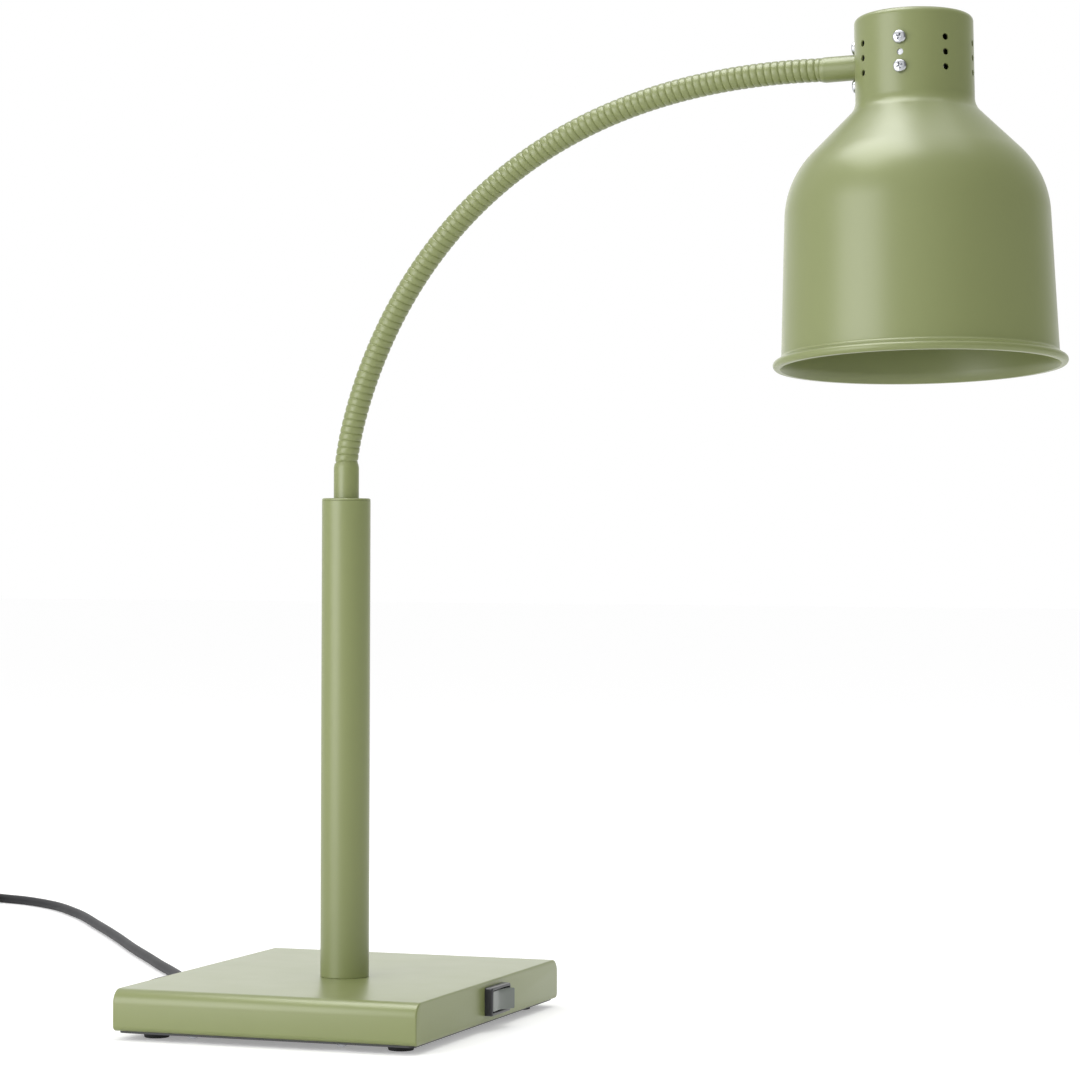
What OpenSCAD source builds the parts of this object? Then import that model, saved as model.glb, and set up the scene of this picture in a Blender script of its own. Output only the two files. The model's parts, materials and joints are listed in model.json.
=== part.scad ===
// Heat lamp on a flat steel base: a straight post, a ribbed gooseneck and a
// bell shade with a reflector bulb. Units are millimetres, +Z is up, +X points
// from the post towards the shade, and the part stands on z = 0.

/* [Base] */
// Length of the base along the arm
base_l = 195; // [185:1:215]
// Width of the base across the arm
base_w = 250; // [240:1:270]
// Height of the painted shell
base_h = 25; // [25:0.5:28]
// Thickness of the shell's steel sheet
sheet = 1.5; // [1.2:0.1:1.8]
// Rounding of the two long top edges
top_edge_r = 8.5; // [6:0.5:10]
// Rounding of the two long bottom edges
low_edge_r = 3; // [2:0.5:4]
// Height of a rubber foot
foot_h = 4.3; // [4:0.1:6]
// Diameter of a rubber foot
foot_d = 16.6; // [14:0.2:20]

/* [Post] */
// Diameter of the post
post_d = 30; // [28:0.5:34]
// Wall of the post tube
post_wall = 1.5; // [1.2:0.1:2]
// Height of the post above the base
post_h = 295; // [260:1:320]
// Place of the post along the base
post_x = 6.4; // [0:0.1:10]
// Place of the post across the base
post_y = -13.3; // [-16:0.1:0]

/* [Gooseneck] */
// Diameter over the ribs
neck_d = 14; // [13.6:0.1:14.2]
// Depth of the groove between two ribs
groove = 0.65; // [0.4:0.05:0.8]
// Distance from rib to rib
rib_pitch = 4.4; // [4:0.1:6]
// Diameter of the ferrule on the post
low_ferrule_d = 15.6; // [15:0.1:17]
// Diameter of the ferrule at the shade
top_ferrule_d = 15; // [14.8:0.1:16]

/* [Shade] */
// Distance from the post to the middle of the shade's neck
head_reach = 358; // [350:1:366]
// Height of the arm's axis where it meets the shade
head_z = 580.2; // [570:0.1:590]
// How far the arm's end climbs towards the shade, in degrees
head_pitch = 2.3; // [0:0.1:5]
// How far the shade is rolled about the arm, in degrees
head_roll = 3.9; // [0:0.1:6]
// Outer radius of the shade's neck
shade_neck_r = 34.8; // [34.8:0.1:36]
// Outer radius of the bell just under the shoulder
bell_top_r = 77.4; // [76:0.1:79]
// Outer radius of the bell just above the lip
bell_low_r = 80.4; // [80:0.1:82]
// Height of the shade
shade_h = 206.2; // [204:0.1:210]
// Thickness of the shade's sheet
shade_t = 1; // [0.8:0.1:1.2]
// Diameter of a vent hole
vent_d = 3.8; // [3.4:0.1:4]

/* [Switch and cord] */
// Length of the switch frame
switch_l = 33.4; // [33:0.1:36]
// Height of the switch frame
switch_w = 17.4; // [17:0.1:18]
// How far the frame stands out of the base
switch_proud = 5; // [4:0.1:6]
// Place of the switch across the base
switch_y = 6.3; // [0:0.1:12]
// Angle of each half of the rocker, in degrees
rocker_a = 12; // [8:0.5:12]
// Diameter of the mains cord
cord_d = 7; // [6:0.1:7]

/* [Hidden] */
$fn = 64;

// Colours as the photograph shows them
green = "#a3ab84";
dark = "#2b2c2d";
zinc = "#c9ccd0";
iron = "#5b5d60";
white = "#f2f0ea";
brassy = "#c8a24a";

// Heights of the base
plate_t = 1.2;
shell_z = foot_h + plate_t;
base_top = shell_z + base_h;
inner_top = base_top - sheet;
rim_flange = 14;
ballast_t = 16;
ballast_half_l = 64;
ballast_half_w = base_w / 2 - 17;
foot_x = base_l / 2 - 18.5;
foot_y = base_w / 2 - 23;
plate_screw_x = 48;
plate_screw_y = base_w / 2 - 7.5;
ballast_screw_x = 45;
ballast_screw_y = 85;
block_x = -74;
earth_x = -76;
earth_y = -40;

// Switch
sw_z = shell_z + base_h / 2 + 0.2;
sw_face = base_l / 2 + switch_proud;
pivot_depth = 5.5;
pivot_x = sw_face - pivot_depth;
rocker_r = 14.5;
sw_slot_l = 2 * rocker_r + 1;
sw_slot_w = switch_w - 4;
sw_body_l = sw_slot_l + 1.8;
sw_body_w = sw_slot_w + 2.4;
sw_back = base_l / 2 - 17.5;
pin_r = 1.2;
pin_fit = 0.06;

// Strain relief and cord
relief_y = 30;
relief_z = shell_z + 12;
relief_l = 24;
relief_flange = 3;
relief_hole_r = 6.2;

// Post and ferrules
post_r = post_d / 2;
bore_post = post_r - post_wall;
stud_r = 6;
backing_t = 2;
cable_r = 2.4;
post_top = base_top + post_h;
cap_t = 1.5;
socket_r = 6.45;
socket_l = 10;
spigot_r = 5;
ferrule_top = post_top + 21.5;

// Gooseneck: its path in the plane of the arm, as [distance from post, height]
segments = 9;
root_r = 6.3;
bore_r = 4;
ball_r = 7.4;
cup_r = 8.3;
end_r = 6.6;
ring_sides = 8;
arm_end = head_reach - 56;
arm_end_z = head_z - 56 * tan(head_pitch) + 0.2;
path_ctrl = [[0, ferrule_top], [0, ferrule_top + 7.7], [arm_end - 272, arm_end_z], [arm_end, arm_end_z]];
path_steps = 160;

// Shade, in the frame of the head: its origin is on the arm's axis, +Z along the bell's axis
rim_z = -179.6;
top_z = rim_z + shade_h;
neck_in = shade_neck_r - shade_t;
flare = atan((bell_low_r - bell_top_r) / 76);
shoulder_r = 55;
cove_r = 12;
line_sum = 7.8;
lip_r = 2.6;
lip_mid = bell_low_r + 2.6;
vent_step = 8.7;
arm_screw_z = 11.4;
side_screw_z = 8.5;

// Bulb, a reflector lamp 121 mm across and 136 mm long
tip_z = -2;
bulb_r = 60.5;
bulb_rim_z = tip_z - 121;
bulb_face_z = tip_z - 136;
glass_t = 1.8;
cap_r = 13.2;
cap_top = tip_z - 5;
cap_end = tip_z - 27;

// The part's origin is under the middle of its box, so the base stands to -X of it
head_right = lip_mid * sqrt(pow(cos(head_pitch), 2) + pow(sin(head_roll) * sin(head_pitch), 2))
    - (rim_z + lip_r) * cos(head_roll) * sin(head_pitch) + lip_r;
base_x = -(post_x + head_reach + head_right - base_l / 2) / 2;

function arc_pts(c, r, a0, a1, n = 12) =
    [for (i = [0:n]) let (a = a0 + (a1 - a0) * i / n) [c[0] + r * cos(a), c[1] + r * sin(a)]];

// Frames that carry the sub-parts
module at_base() { translate([base_x, 0, 0]) children(); }
module at_post() { translate([base_x + post_x, post_y, 0]) children(); }
module at_head() {
    at_post() translate([head_reach, 0, head_z]) rotate([-head_roll, -head_pitch, 0]) children();
}

// Shared small pieces
module pan_screw(head_r, head_h, shank_r, l) {
    dome_r = (head_r * head_r + head_h * head_h) / (2 * head_h);
    intersection() {
        cylinder(r = head_r, h = head_h);
        translate([0, 0, head_h - dome_r]) sphere(r = dome_r);
    }
    translate([0, 0, -l]) cylinder(r = shank_r, h = l + 0.01);
}

module hex_nut(flat, t, hole_r) {
    difference() {
        cylinder(r = flat / sqrt(3), h = t, $fn = 6);
        translate([0, 0, -1]) cylinder(r = hole_r, h = t + 2);
    }
}

module four(x, y) {
    for (sx = [-1, 1]) for (sy = [-1, 1]) translate([sx * x, sy * y, 0]) children();
}

// A wire along straight runs with a bead at each corner
module wire(points, r) {
    for (i = [0:len(points) - 2]) {
        d = points[i + 1] - points[i];
        translate(points[i]) rotate([0, acos(d[2] / norm(d)), atan2(d[1], d[0])])
            cylinder(r = r, h = norm(d), $fn = 24);
    }
    for (i = [1:1:len(points) - 2]) translate(points[i]) sphere(r = r * 1.08, $fn = 24);
}

// Outline of the folded shell across the arm, standing on y = 0
module shell_outline(w, h, rt, rb) {
    translate([-w / 2, rb]) square([w, h - rt - rb]);
    translate([-w / 2 + rt, h - rt - 0.01]) square([w - 2 * rt, rt + 0.01]);
    translate([-w / 2 + rb, 0]) square([w - 2 * rb, rb + 0.01]);
    for (s = [-1, 1]) {
        translate([s * (w / 2 - rt), h - rt]) circle(r = rt);
        translate([s * (w / 2 - rb), rb]) circle(r = rb);
    }
}

module along_x(l) { translate([-l / 2, 0, 0]) rotate([90, 0, 90]) linear_extrude(l) children(); }

module rounded_slab(l, w, r, t) {
    linear_extrude(t) {
        square([l, w - 2 * r], center = true);
        square([l - 2 * r, w], center = true);
        for (sx = [-1, 1]) for (sy = [-1, 1])
            translate([sx * (l / 2 - r), sy * (w / 2 - r)]) circle(r = r);
    }
}

// Base
module base_shell() {
    color(green) at_base() difference() {
        translate([0, 0, shell_z]) along_x(base_l)
            shell_outline(base_w, base_h, top_edge_r, low_edge_r);
        translate([0, 0, shell_z + sheet]) along_x(base_l - 2 * sheet)
            shell_outline(base_w - 2 * sheet, base_h - 2 * sheet, top_edge_r - sheet, low_edge_r - sheet);
        translate([0, 0, shell_z - 1])
            rounded_slab(base_l - 2 * rim_flange, base_w - 2 * rim_flange, 6, sheet + 2);
        translate([post_x, post_y, inner_top - 1]) cylinder(r = stud_r + 0.2, h = sheet + 2);
        translate([base_l / 2 - sheet - 1, switch_y - sw_body_l / 2 - 0.2, sw_z - sw_body_w / 2 - 0.2])
            cube([sheet + 2, sw_body_l + 0.4, sw_body_w + 0.4]);
        translate([-base_l / 2 - 1, relief_y, relief_z]) rotate([0, 90, 0])
            cylinder(r = relief_hole_r, h = sheet + 2);
        four(plate_screw_x, plate_screw_y) translate([0, 0, shell_z - 1]) cylinder(r = 2, h = sheet + 2);
    }
}

module base_plate() {
    color(dark) at_base() translate([0, 0, foot_h]) difference() {
        rounded_slab(base_l - 5, base_w - 5, 4, plate_t);
        four(plate_screw_x, plate_screw_y) translate([0, 0, -1]) cylinder(r = 2.1, h = plate_t + 2);
        four(foot_x, foot_y) translate([0, 0, -1]) cylinder(r = 2.1, h = plate_t + 2);
        four(ballast_screw_x, ballast_screw_y) translate([0, 0, -1]) cylinder(r = 2.6, h = plate_t + 2);
        translate([earth_x, earth_y, -1]) cylinder(r = 2.1, h = plate_t + 2);
    }
}

module ballast_block() {
    color(iron) at_base() translate([0, 0, shell_z]) difference() {
        rounded_slab(2 * ballast_half_l, 2 * ballast_half_w, 8, ballast_t);
        translate([post_x, post_y, -1]) cylinder(r = 20, h = ballast_t + 2);
        four(ballast_screw_x, ballast_screw_y) translate([0, 0, -1]) cylinder(r = 2.5, h = 13);
    }
}

module ballast_screws() {
    color(zinc) at_base() four(ballast_screw_x, ballast_screw_y)
        translate([0, 0, foot_h]) rotate([180, 0, 0]) pan_screw(4.5, 2.4, 2.45, 12);
}

module base_plate_screws() {
    color(zinc) at_base() four(plate_screw_x, plate_screw_y)
        translate([0, 0, foot_h]) rotate([180, 0, 0]) pan_screw(3.5, 2.2, 1.95, 7);
}

module rubber_feet() {
    color(dark) at_base() four(foot_x, foot_y) difference() {
        rotate_extrude() polygon([
            [0, 0], [foot_d / 2 - 1.2, 0], [foot_d / 2 - 0.6, 0.5], [foot_d / 2, foot_h], [0, foot_h]
        ]);
        translate([0, 0, -1]) cylinder(r = 2.1, h = foot_h + 2);
        translate([0, 0, -1]) cylinder(r = 4.2, h = 3.2);
    }
}

module foot_screws() {
    color(zinc) at_base() four(foot_x, foot_y)
        translate([0, 0, 2.2]) rotate([180, 0, 0]) pan_screw(3.8, 1.8, 1.95, foot_h + plate_t + 2.6);
}

module foot_nuts() {
    color(zinc) at_base() four(foot_x, foot_y) translate([0, 0, shell_z]) hex_nut(7, 3.2, 2);
}

module terminal_block() {
    color(white) at_base() translate([block_x - 9, -18, shell_z]) difference() {
        cube([18, 36, 14]);
        for (i = [0:2]) translate([4, 7 + 11 * i, 8]) cylinder(r = 2.6, h = 7);
    }
}

module terminal_screws() {
    color(brassy) at_base() for (i = [0:2])
        translate([block_x - 5, -11 + 11 * i, shell_z + 8]) cylinder(r = 2.4, h = 3);
}

module earth_stud() {
    color(zinc) at_base() translate([earth_x, earth_y, foot_h]) {
        cylinder(r = 2, h = 14);
        translate([0, 0, plate_t]) cylinder(r = 4.5, h = 1);
        translate([0, 0, plate_t + 1]) cylinder(r = 7 / sqrt(3), h = 3.2, $fn = 6);
    }
}

// The leads in the base: the mains lead's end, two switch leads and the earth lead
module base_wiring() {
    lead_z = shell_z + ballast_t + 2.6;
    block_top = shell_z + 14;
    color(dark) at_base() {
        wire([
            [-base_l / 2 + sheet, relief_y, relief_z], [block_x - 3, relief_y, relief_z],
            [block_x - 3, 18, relief_z]
        ], 3);
        for (y = [switch_y, switch_y + 8]) wire([
            [block_x, y, block_top], [block_x, y, lead_z], [sw_back - 5, y, lead_z],
            [sw_back - 5, y, sw_z + 2.4]
        ], 1.1);
        wire([
            [earth_x, -18, shell_z + 10], [earth_x, -24, shell_z + 10],
            [earth_x, earth_y + 4.5, shell_z + 1.5]
        ], 1.1);
    }
}

// Switch
module switch_body() {
    color(dark) at_base() translate([0, switch_y, sw_z]) difference() {
        union() {
            translate([base_l / 2, 0, 0]) rotate([90, 0, 90])
                rounded_slab(switch_l, switch_w, 1.6, switch_proud);
            translate([sw_back, -sw_body_l / 2, -sw_body_w / 2])
                cube([base_l / 2 - sw_back + 0.5, sw_body_l, sw_body_w]);
        }
        translate([sw_face - 13, -sw_slot_l / 2, -sw_slot_w / 2]) cube([14, sw_slot_l, sw_slot_w]);
        translate([pivot_x, 0, -sw_slot_w / 2 - 1]) cylinder(r = pin_r + pin_fit, h = sw_slot_w + 2);
    }
}

module switch_terminals() {
    color(brassy) at_base() for (i = [-1:1])
        translate([sw_back - 8, switch_y + 8 * i - 0.4, sw_z - 2.4]) cube([8, 0.8, 4.8]);
}

// Two faces in a shallow V, turned so that the half towards -Y is pressed in
module switch_rocker() {
    rise = 16 * tan(rocker_a);
    color(dark) at_base() translate([pivot_x, switch_y, sw_z]) rotate([0, 0, -rocker_a]) {
        linear_extrude(sw_slot_w - 0.8, center = true) intersection() {
            circle(r = rocker_r);
            polygon([[5.2 + rise, -16], [5.2, 0], [5.2 + rise, 16], [-3, 16], [-3, -16]]);
        }
        cylinder(r = pin_r, h = sw_slot_w + 1.8, center = true);
    }
}

// Strain relief: a tapered boot outside, a threaded neck through the wall and a nut inside
module strain_relief() {
    tip = relief_flange + relief_l;
    color(dark) at_base() translate([-base_l / 2, relief_y, relief_z]) rotate([0, -90, 0])
        rotate_extrude() polygon([
            [0, -sheet], [3.2, -sheet], [3.2, -7], [6, -7], [6, 0], [9, 0], [9, relief_flange - 1],
            [8, relief_flange], [6.2, relief_flange + 1], [4.7, tip], [0, tip]
        ]);
}

module strain_relief_nut() {
    color(dark) at_base() translate([-base_l / 2 + sheet, relief_y, relief_z]) rotate([0, 90, 0])
        hex_nut(17, 4, 6.05);
}

// Post
module post_tube() {
    color(green) at_post() translate([0, 0, base_top]) difference() {
        cylinder(r = post_r, h = post_h - cap_t);
        translate([0, 0, -1]) cylinder(r = bore_post, h = post_h + 2);
    }
}

module post_foot_plug() {
    color(zinc) at_post() difference() {
        union() {
            translate([0, 0, base_top]) cylinder(r = bore_post, h = 18);
            translate([0, 0, base_top - 13]) cylinder(r = stud_r, h = 14);
        }
        translate([0, 0, base_top - 14]) cylinder(r = cable_r + 0.8, h = 40);
    }
}

module post_backing_plate() {
    color(zinc) at_post() translate([0, 0, inner_top - backing_t]) difference() {
        rounded_slab(64, 64, 5, backing_t);
        translate([0, 0, -1]) cylinder(r = stud_r + 0.2, h = 5);
    }
}

module post_nut() {
    color(zinc) at_post() translate([0, 0, inner_top - backing_t - 7]) hex_nut(19, 7, stud_r + 0.05);
}

module post_cap() {
    color(green) at_post() difference() {
        union() {
            translate([0, 0, post_top - cap_t]) cylinder(r = post_r, h = cap_t);
            translate([0, 0, post_top - 15]) cylinder(r = bore_post, h = 14);
        }
        translate([0, 0, post_top - 16]) cylinder(r = spigot_r + 0.05, h = 20);
    }
}

// The lamp's cable: over the ballast, up the post and into the gooseneck
module lamp_cable() {
    low = shell_z + 6;
    lead_z = shell_z + ballast_t + 2.7;
    color(dark) at_base() wire([
        [block_x + 2, post_y, shell_z + 14], [block_x + 2, post_y, lead_z], [post_x - 14, post_y, lead_z],
        [post_x - 14, post_y, low], [post_x, post_y, low], [post_x, post_y, ferrule_top - 2]
    ], cable_r);
}

module lower_ferrule() {
    r = low_ferrule_d / 2;
    color(green) at_post() difference() {
        union() {
            translate([0, 0, post_top]) cylinder(r = r, h = ferrule_top - post_top - 2.5);
            translate([0, 0, ferrule_top - 2.5]) cylinder(r1 = r, r2 = r - 0.5, h = 2.5);
            translate([0, 0, post_top - 13]) cylinder(r = spigot_r, h = 14);
        }
        translate([0, 0, post_top - 14]) cylinder(r = cable_r + 1, h = 40);
        translate([0, 0, ferrule_top - socket_l]) cylinder(r = socket_r, h = socket_l + 1);
    }
}

// Gooseneck path, by its length from the ferrule's mouth
function bez(t) = pow(1 - t, 3) * path_ctrl[0] + 3 * pow(1 - t, 2) * t * path_ctrl[1]
    + 3 * (1 - t) * t * t * path_ctrl[2] + pow(t, 3) * path_ctrl[3];
function bez_slope(t) =
    let (
        d = pow(1 - t, 2) * (path_ctrl[1] - path_ctrl[0])
            + 2 * (1 - t) * t * (path_ctrl[2] - path_ctrl[1]) + t * t * (path_ctrl[3] - path_ctrl[2])
    )
    atan2(d[1], d[0]);
path_table = [
    for (
        i = 0, s = 0; i <= path_steps;
        s = s + norm(bez((i + 1) / path_steps) - bez(i / path_steps)), i = i + 1
    ) [s, i / path_steps]
];
path_len = path_table[path_steps][0];
function path_p(s) = s < 0 ? path_ctrl[0] + [0, s]
    : s > path_len ? path_ctrl[3] + (s - path_len) * [cos(head_pitch), sin(head_pitch)]
    : bez(lookup(s, path_table));
function path_a(s) = s < 0 ? 90 : s > path_len ? head_pitch : bez_slope(lookup(s, path_table));
function joint_s(k) = path_len * (k + 1) / segments;

// A ring is [middle, slope, radius]; at_joint puts one off a joint's middle by a signed distance
function at_path(s, r) = [path_p(s), path_a(s), r];
function at_joint(k, off, r) =
    let (s = joint_s(k), a = path_a(s)) [path_p(s) + off * [cos(a), sin(a)], a, r];
function on_ball(k, ball, r) = at_joint(k, -sqrt(ball * ball - r * r), r);

// Each segment starts with a ball face and ends with a cup face, both round the joint's middle
function start_rings(i) = i == 0
    ? [[path_p(-socket_l), 90, bore_r], [path_p(-socket_l), 90, root_r], [path_p(-0.4), 90, root_r]]
    : [on_ball(i - 1, ball_r, bore_r), on_ball(i - 1, ball_r, 5.4), on_ball(i - 1, ball_r, end_r)];
function end_rings(i) = i == segments - 1
    ? [at_path(path_len + 0.4, root_r), at_path(path_len + 11.8, root_r), at_path(path_len + 11.8, bore_r)]
    : [on_ball(i, cup_r, end_r), on_ball(i, cup_r, 5.4), on_ball(i, cup_r, bore_r)];
function rib_from(i) = i == 0 ? 1 : joint_s(i - 1) - 2;
function rib_to(i) = i == segments - 1 ? path_len - 1 : joint_s(i) - 5.9;
function rib_rings(i) = [
    for (m = [ceil(2 * rib_from(i) / rib_pitch):floor(2 * rib_to(i) / rib_pitch)])
        at_path(m * rib_pitch / 2, m % 2 == 0 ? neck_d / 2 - groove : neck_d / 2)
];
function bore_rings(i) = [
    for (q = [3:-1:0]) at_path(rib_from(i) + 2 + (rib_to(i) - rib_from(i) - 4) * q / 3, bore_r)
];
function ring_points(ring, n) = [
    for (j = [0:n - 1]) let (b = 360 * j / n, c = ring[2] * cos(b))
        [ring[0][0] - c * sin(ring[1]), -ring[2] * sin(b), ring[0][1] + c * cos(ring[1])]
];

// Triangles between rings of n points that follow each other in a closed loop
function loop_faces(rings, n) = [
    for (i = [0:rings - 1]) for (j = [0:n - 1])
        let (k = (j + 1) % n, a = i * n + j, b = i * n + k, c = (i + 1) % rings * n + j, d = c - j + k)
            each [[a, b, d], [a, d, c]]
];

// Triangles of an open tube of such rings with a fan on each end
function tube_faces(rings, n) = concat(
    [for (i = [0:rings - 2]) for (j = [0:n - 1])
        let (a = i * n + j, b = i * n + (j + 1) % n, c = a + n, d = b + n) each [[a, b, d], [a, d, c]]],
    [for (j = [1:n - 2]) [0, j + 1, j]],
    [for (j = [1:n - 2]) let (z = (rings - 1) * n) [z, z + j, z + j + 1]]
);

module gooseneck(i) {
    rings = concat(start_rings(i), rib_rings(i), end_rings(i), bore_rings(i));
    color(green) at_post() polyhedron(
        points = [for (ring = rings) each ring_points(ring, ring_sides)],
        faces = loop_faces(len(rings), ring_sides), convexity = 6
    );
}

// Head, built round the arm's axis
module along_arm() { rotate([0, 90, 0]) children(); }

module upper_ferrule() {
    r = top_ferrule_d / 2;
    color(green) at_head() difference() {
        union() {
            translate([-56, 0, 0]) along_arm() cylinder(r1 = r - 0.4, r2 = r, h = 2.5);
            translate([-53.5, 0, 0]) along_arm() cylinder(r = r, h = 21);
            translate([-33, 0, 0]) along_arm() cylinder(r = 6, h = 9.5);
        }
        translate([-57, 0, 0]) along_arm() cylinder(r = 3.4, h = 40);
        translate([-57, 0, 0]) along_arm() cylinder(r = socket_r, h = 13);
    }
}

module arm_saddle() {
    color(zinc) at_head() difference() {
        intersection() {
            translate([0, 0, -17]) cylinder(r = neck_in, h = 34);
            translate([-40, -13, -17]) cube([11.8, 26, 34]);
        }
        translate([-40, 0, 0]) along_arm() cylinder(r = 6.05, h = 20);
        translate([-40, 0, 0]) along_arm() cylinder(r = top_ferrule_d / 2 + 0.1, h = 7.5);
        for (s = [-1, 1]) translate([-40, 0, s * arm_screw_z]) along_arm() cylinder(r = 2, h = 20);
    }
}

module arm_nut() {
    color(zinc) at_head() translate([-28.2, 0, 0]) along_arm() hex_nut(15.5, 4, 6.05);
}

module arm_screws() {
    color(zinc) at_head() for (s = [-1, 1])
        translate([-shade_neck_r, 0, s * arm_screw_z]) rotate([0, -90, 0]) pan_screw(4, 2.6, 1.95, 9);
}

// Outer outline of the shade from the top's middle down to the lip; off moves it inwards
function shade_outline(off) =
    let (
        beta = flare,
        t1 = [bell_top_r - off, line_sum - bell_top_r + shoulder_r * (cos(beta) + sin(beta) - sqrt(2))],
        mid = [bell_top_r - shoulder_r * cos(beta), t1[1] - shoulder_r * sin(beta)],
        cove_mid = [shade_neck_r + cove_r, line_sum - shade_neck_r + cove_r * (sqrt(2) - 1)],
        top_r = 3.5
    )
    concat(
        [[0, top_z - off]],
        arc_pts([shade_neck_r - top_r, top_z - top_r], top_r - off, 90, 0, 5),
        arc_pts(cove_mid, cove_r + off, 180, 225, 6),
        arc_pts(mid, shoulder_r - off, 45, beta, 10)
    );

module shade() {
    lip_low = rim_z;
    outer = concat(
        shade_outline(0),
        arc_pts([bell_low_r + 2.4, rim_z + 8.4], 2.2, 180, 250, 4),
        arc_pts([lip_mid, rim_z + lip_r], lip_r, 75, -60, 9)
    );
    inner = concat(
        shade_outline(shade_t),
        [[bell_low_r - shade_t, rim_z + 7], [bell_low_r + 0.2, rim_z + 2], [bell_low_r + 1, lip_low + 0.3]]
    );
    color(green) at_head() difference() {
        rotate_extrude() polygon(concat(outer, [for (i = [len(inner) - 1:-1:0]) inner[i]]));
        rotate([0, -90, 0]) cylinder(r = top_ferrule_d / 2 + 0.2, h = 50);
        for (s = [-1, 1]) translate([0, 0, s * arm_screw_z]) rotate([0, -90, 0]) cylinder(r = 2.1, h = 50);
        for (a = [-135, -45, 0, 45, 135]) rotate([0, 0, a]) for (i = [-1:1])
            translate([0, 0, i * vent_step]) along_arm() cylinder(r = vent_d / 2, h = 50);
        for (a = [-90, 90]) rotate([0, 0, a]) {
            along_arm() cylinder(r = vent_d / 2, h = 50);
            for (s = [-1, 1]) translate([0, 0, s * side_screw_z]) along_arm() cylinder(r = 2.1, h = 50);
        }
    }
}

// Lamp holder and the bracket that carries it
bridge_z = 14.4;
holder_low = -27;

module holder_bracket() {
    color(zinc) at_head() difference() {
        union() {
            intersection() {
                difference() {
                    translate([0, 0, -14]) cylinder(r = neck_in, h = 30);
                    translate([0, 0, -15]) cylinder(r = neck_in - 1.6, h = 32);
                }
                translate([-8, -40, -14]) cube([16, 80, 30]);
            }
            intersection() {
                translate([0, 0, bridge_z]) cylinder(r = neck_in, h = 1.6);
                translate([-9, -40, bridge_z]) cube([18, 80, 1.6]);
            }
        }
        for (a = [-90, 90]) rotate([0, 0, a]) for (s = [-1, 1])
            translate([20, 0, s * side_screw_z]) along_arm() cylinder(r = 2, h = 20);
        for (s = [-1, 1]) translate([0, 12 * s, bridge_z - 1]) cylinder(r = 2.1, h = 4);
        translate([0, 0, bridge_z - 1]) cylinder(r = 5, h = 4);
    }
}

module holder_bracket_screws() {
    color(zinc) at_head() for (a = [-90, 90]) rotate([0, 0, a]) for (s = [-1, 1])
        translate([shade_neck_r, 0, s * side_screw_z]) along_arm() pan_screw(4, 2.6, 1.95, 7);
}

module lamp_holder() {
    color(white) at_head() difference() {
        rotate_extrude() polygon([
            [0, bridge_z], [16.5, bridge_z], [17.5, bridge_z - 1], [17.5, -18], [19.5, -20],
            [19.5, holder_low + 1], [18.5, holder_low], [0, holder_low]
        ]);
        translate([0, 0, holder_low - 1]) cylinder(r = 14.2, h = 29);
        cylinder(r = 8, h = 6);
        for (s = [-1, 1]) translate([0, 12 * s, 7]) cylinder(r = 2, h = 10);
        for (s = [-1, 1]) translate([-13, 1.7 * s, 8]) cylinder(r = 1.2, h = 10);
    }
}

module holder_screws() {
    color(zinc) at_head() for (s = [-1, 1])
        translate([0, 12 * s, bridge_z + 1.6]) pan_screw(3.8, 2.2, 1.95, 8);
}

module holder_sleeve() {
    color(brassy) at_head() translate([0, 0, -25]) difference() {
        cylinder(r = 14.2, h = 24);
        translate([0, 0, -1]) cylinder(r = 13.7, h = 26);
    }
}

module holder_contact() {
    color(brassy) at_head() {
        translate([-7, -3, tip_z]) cube([11, 6, 0.6]);
        translate([-7, -3, tip_z]) cube([0.6, 6, 6 - tip_z]);
    }
}

module holder_wires() {
    color(white) at_head() for (s = [-1, 1])
        wire([
            [-42, 1.6 * s, 0], [-20.8, 1.6 * s, 0], [-20.8, 1.6 * s, 19.6], [-13, 1.7 * s, 19.6],
            [-13, 1.7 * s, 8.2]
        ], 1);
}

// Bulb: a parabola of revolution with a mirrored back and a domed front glass
bulb_focus_k = (bulb_r * bulb_r - 15 * 15) / (cap_end - 5.5 - bulb_rim_z);
function bulb_wall(off) = [
    for (i = [0:10]) let (u = i / 10, z = cap_end - 5.5 + (bulb_rim_z - cap_end + 5.5) * u * u)
        [sqrt(15 * 15 + bulb_focus_k * (cap_end - 5.5 - z)) - off, z + (i == 0 ? 0 : off * (1 - u) * 0.6)]
];

module bulb_reflector() {
    inner = bulb_wall(glass_t);
    color(zinc) at_head() rotate_extrude() polygon(concat(
        [[15, cap_end]],
        bulb_wall(0),
        [[bulb_r, bulb_rim_z - 3], [bulb_r - glass_t, bulb_rim_z - 3]],
        [for (i = [len(inner) - 1:-1:0]) inner[i]],
        [[15 - glass_t, cap_end]]
    ));
}

module bulb_lens() {
    top = bulb_rim_z - 3;
    r = bulb_r;
    drop = top - 3 - bulb_face_z;
    dome_r = (r * r + drop * drop) / (2 * drop);
    half = asin(r / dome_r);
    inner_r = dome_r - 2.4;
    inner_half = asin((r - 2.4) / inner_r);
    mid_z = bulb_face_z + dome_r;
    color(white) at_head() rotate_extrude() polygon(concat(
        [[r, top]],
        arc_pts([0, mid_z], dome_r, -90 + half, -90, 10),
        arc_pts([0, mid_z], inner_r, -90, -90 + inner_half, 10),
        [[r - 2.4, top]]
    ));
}

module bulb_cap() {
    color(zinc) at_head() difference() {
        translate([0, 0, cap_end]) cylinder(r = cap_r, h = cap_top - cap_end);
        translate([0, 0, cap_end - 1]) cylinder(r = cap_r - 0.4, h = cap_top - cap_end + 0.4);
    }
}

module bulb_insulator() {
    color(dark) at_head() translate([0, 0, cap_top]) cylinder(r1 = 11, r2 = 5.5, h = 3.8);
}

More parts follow.
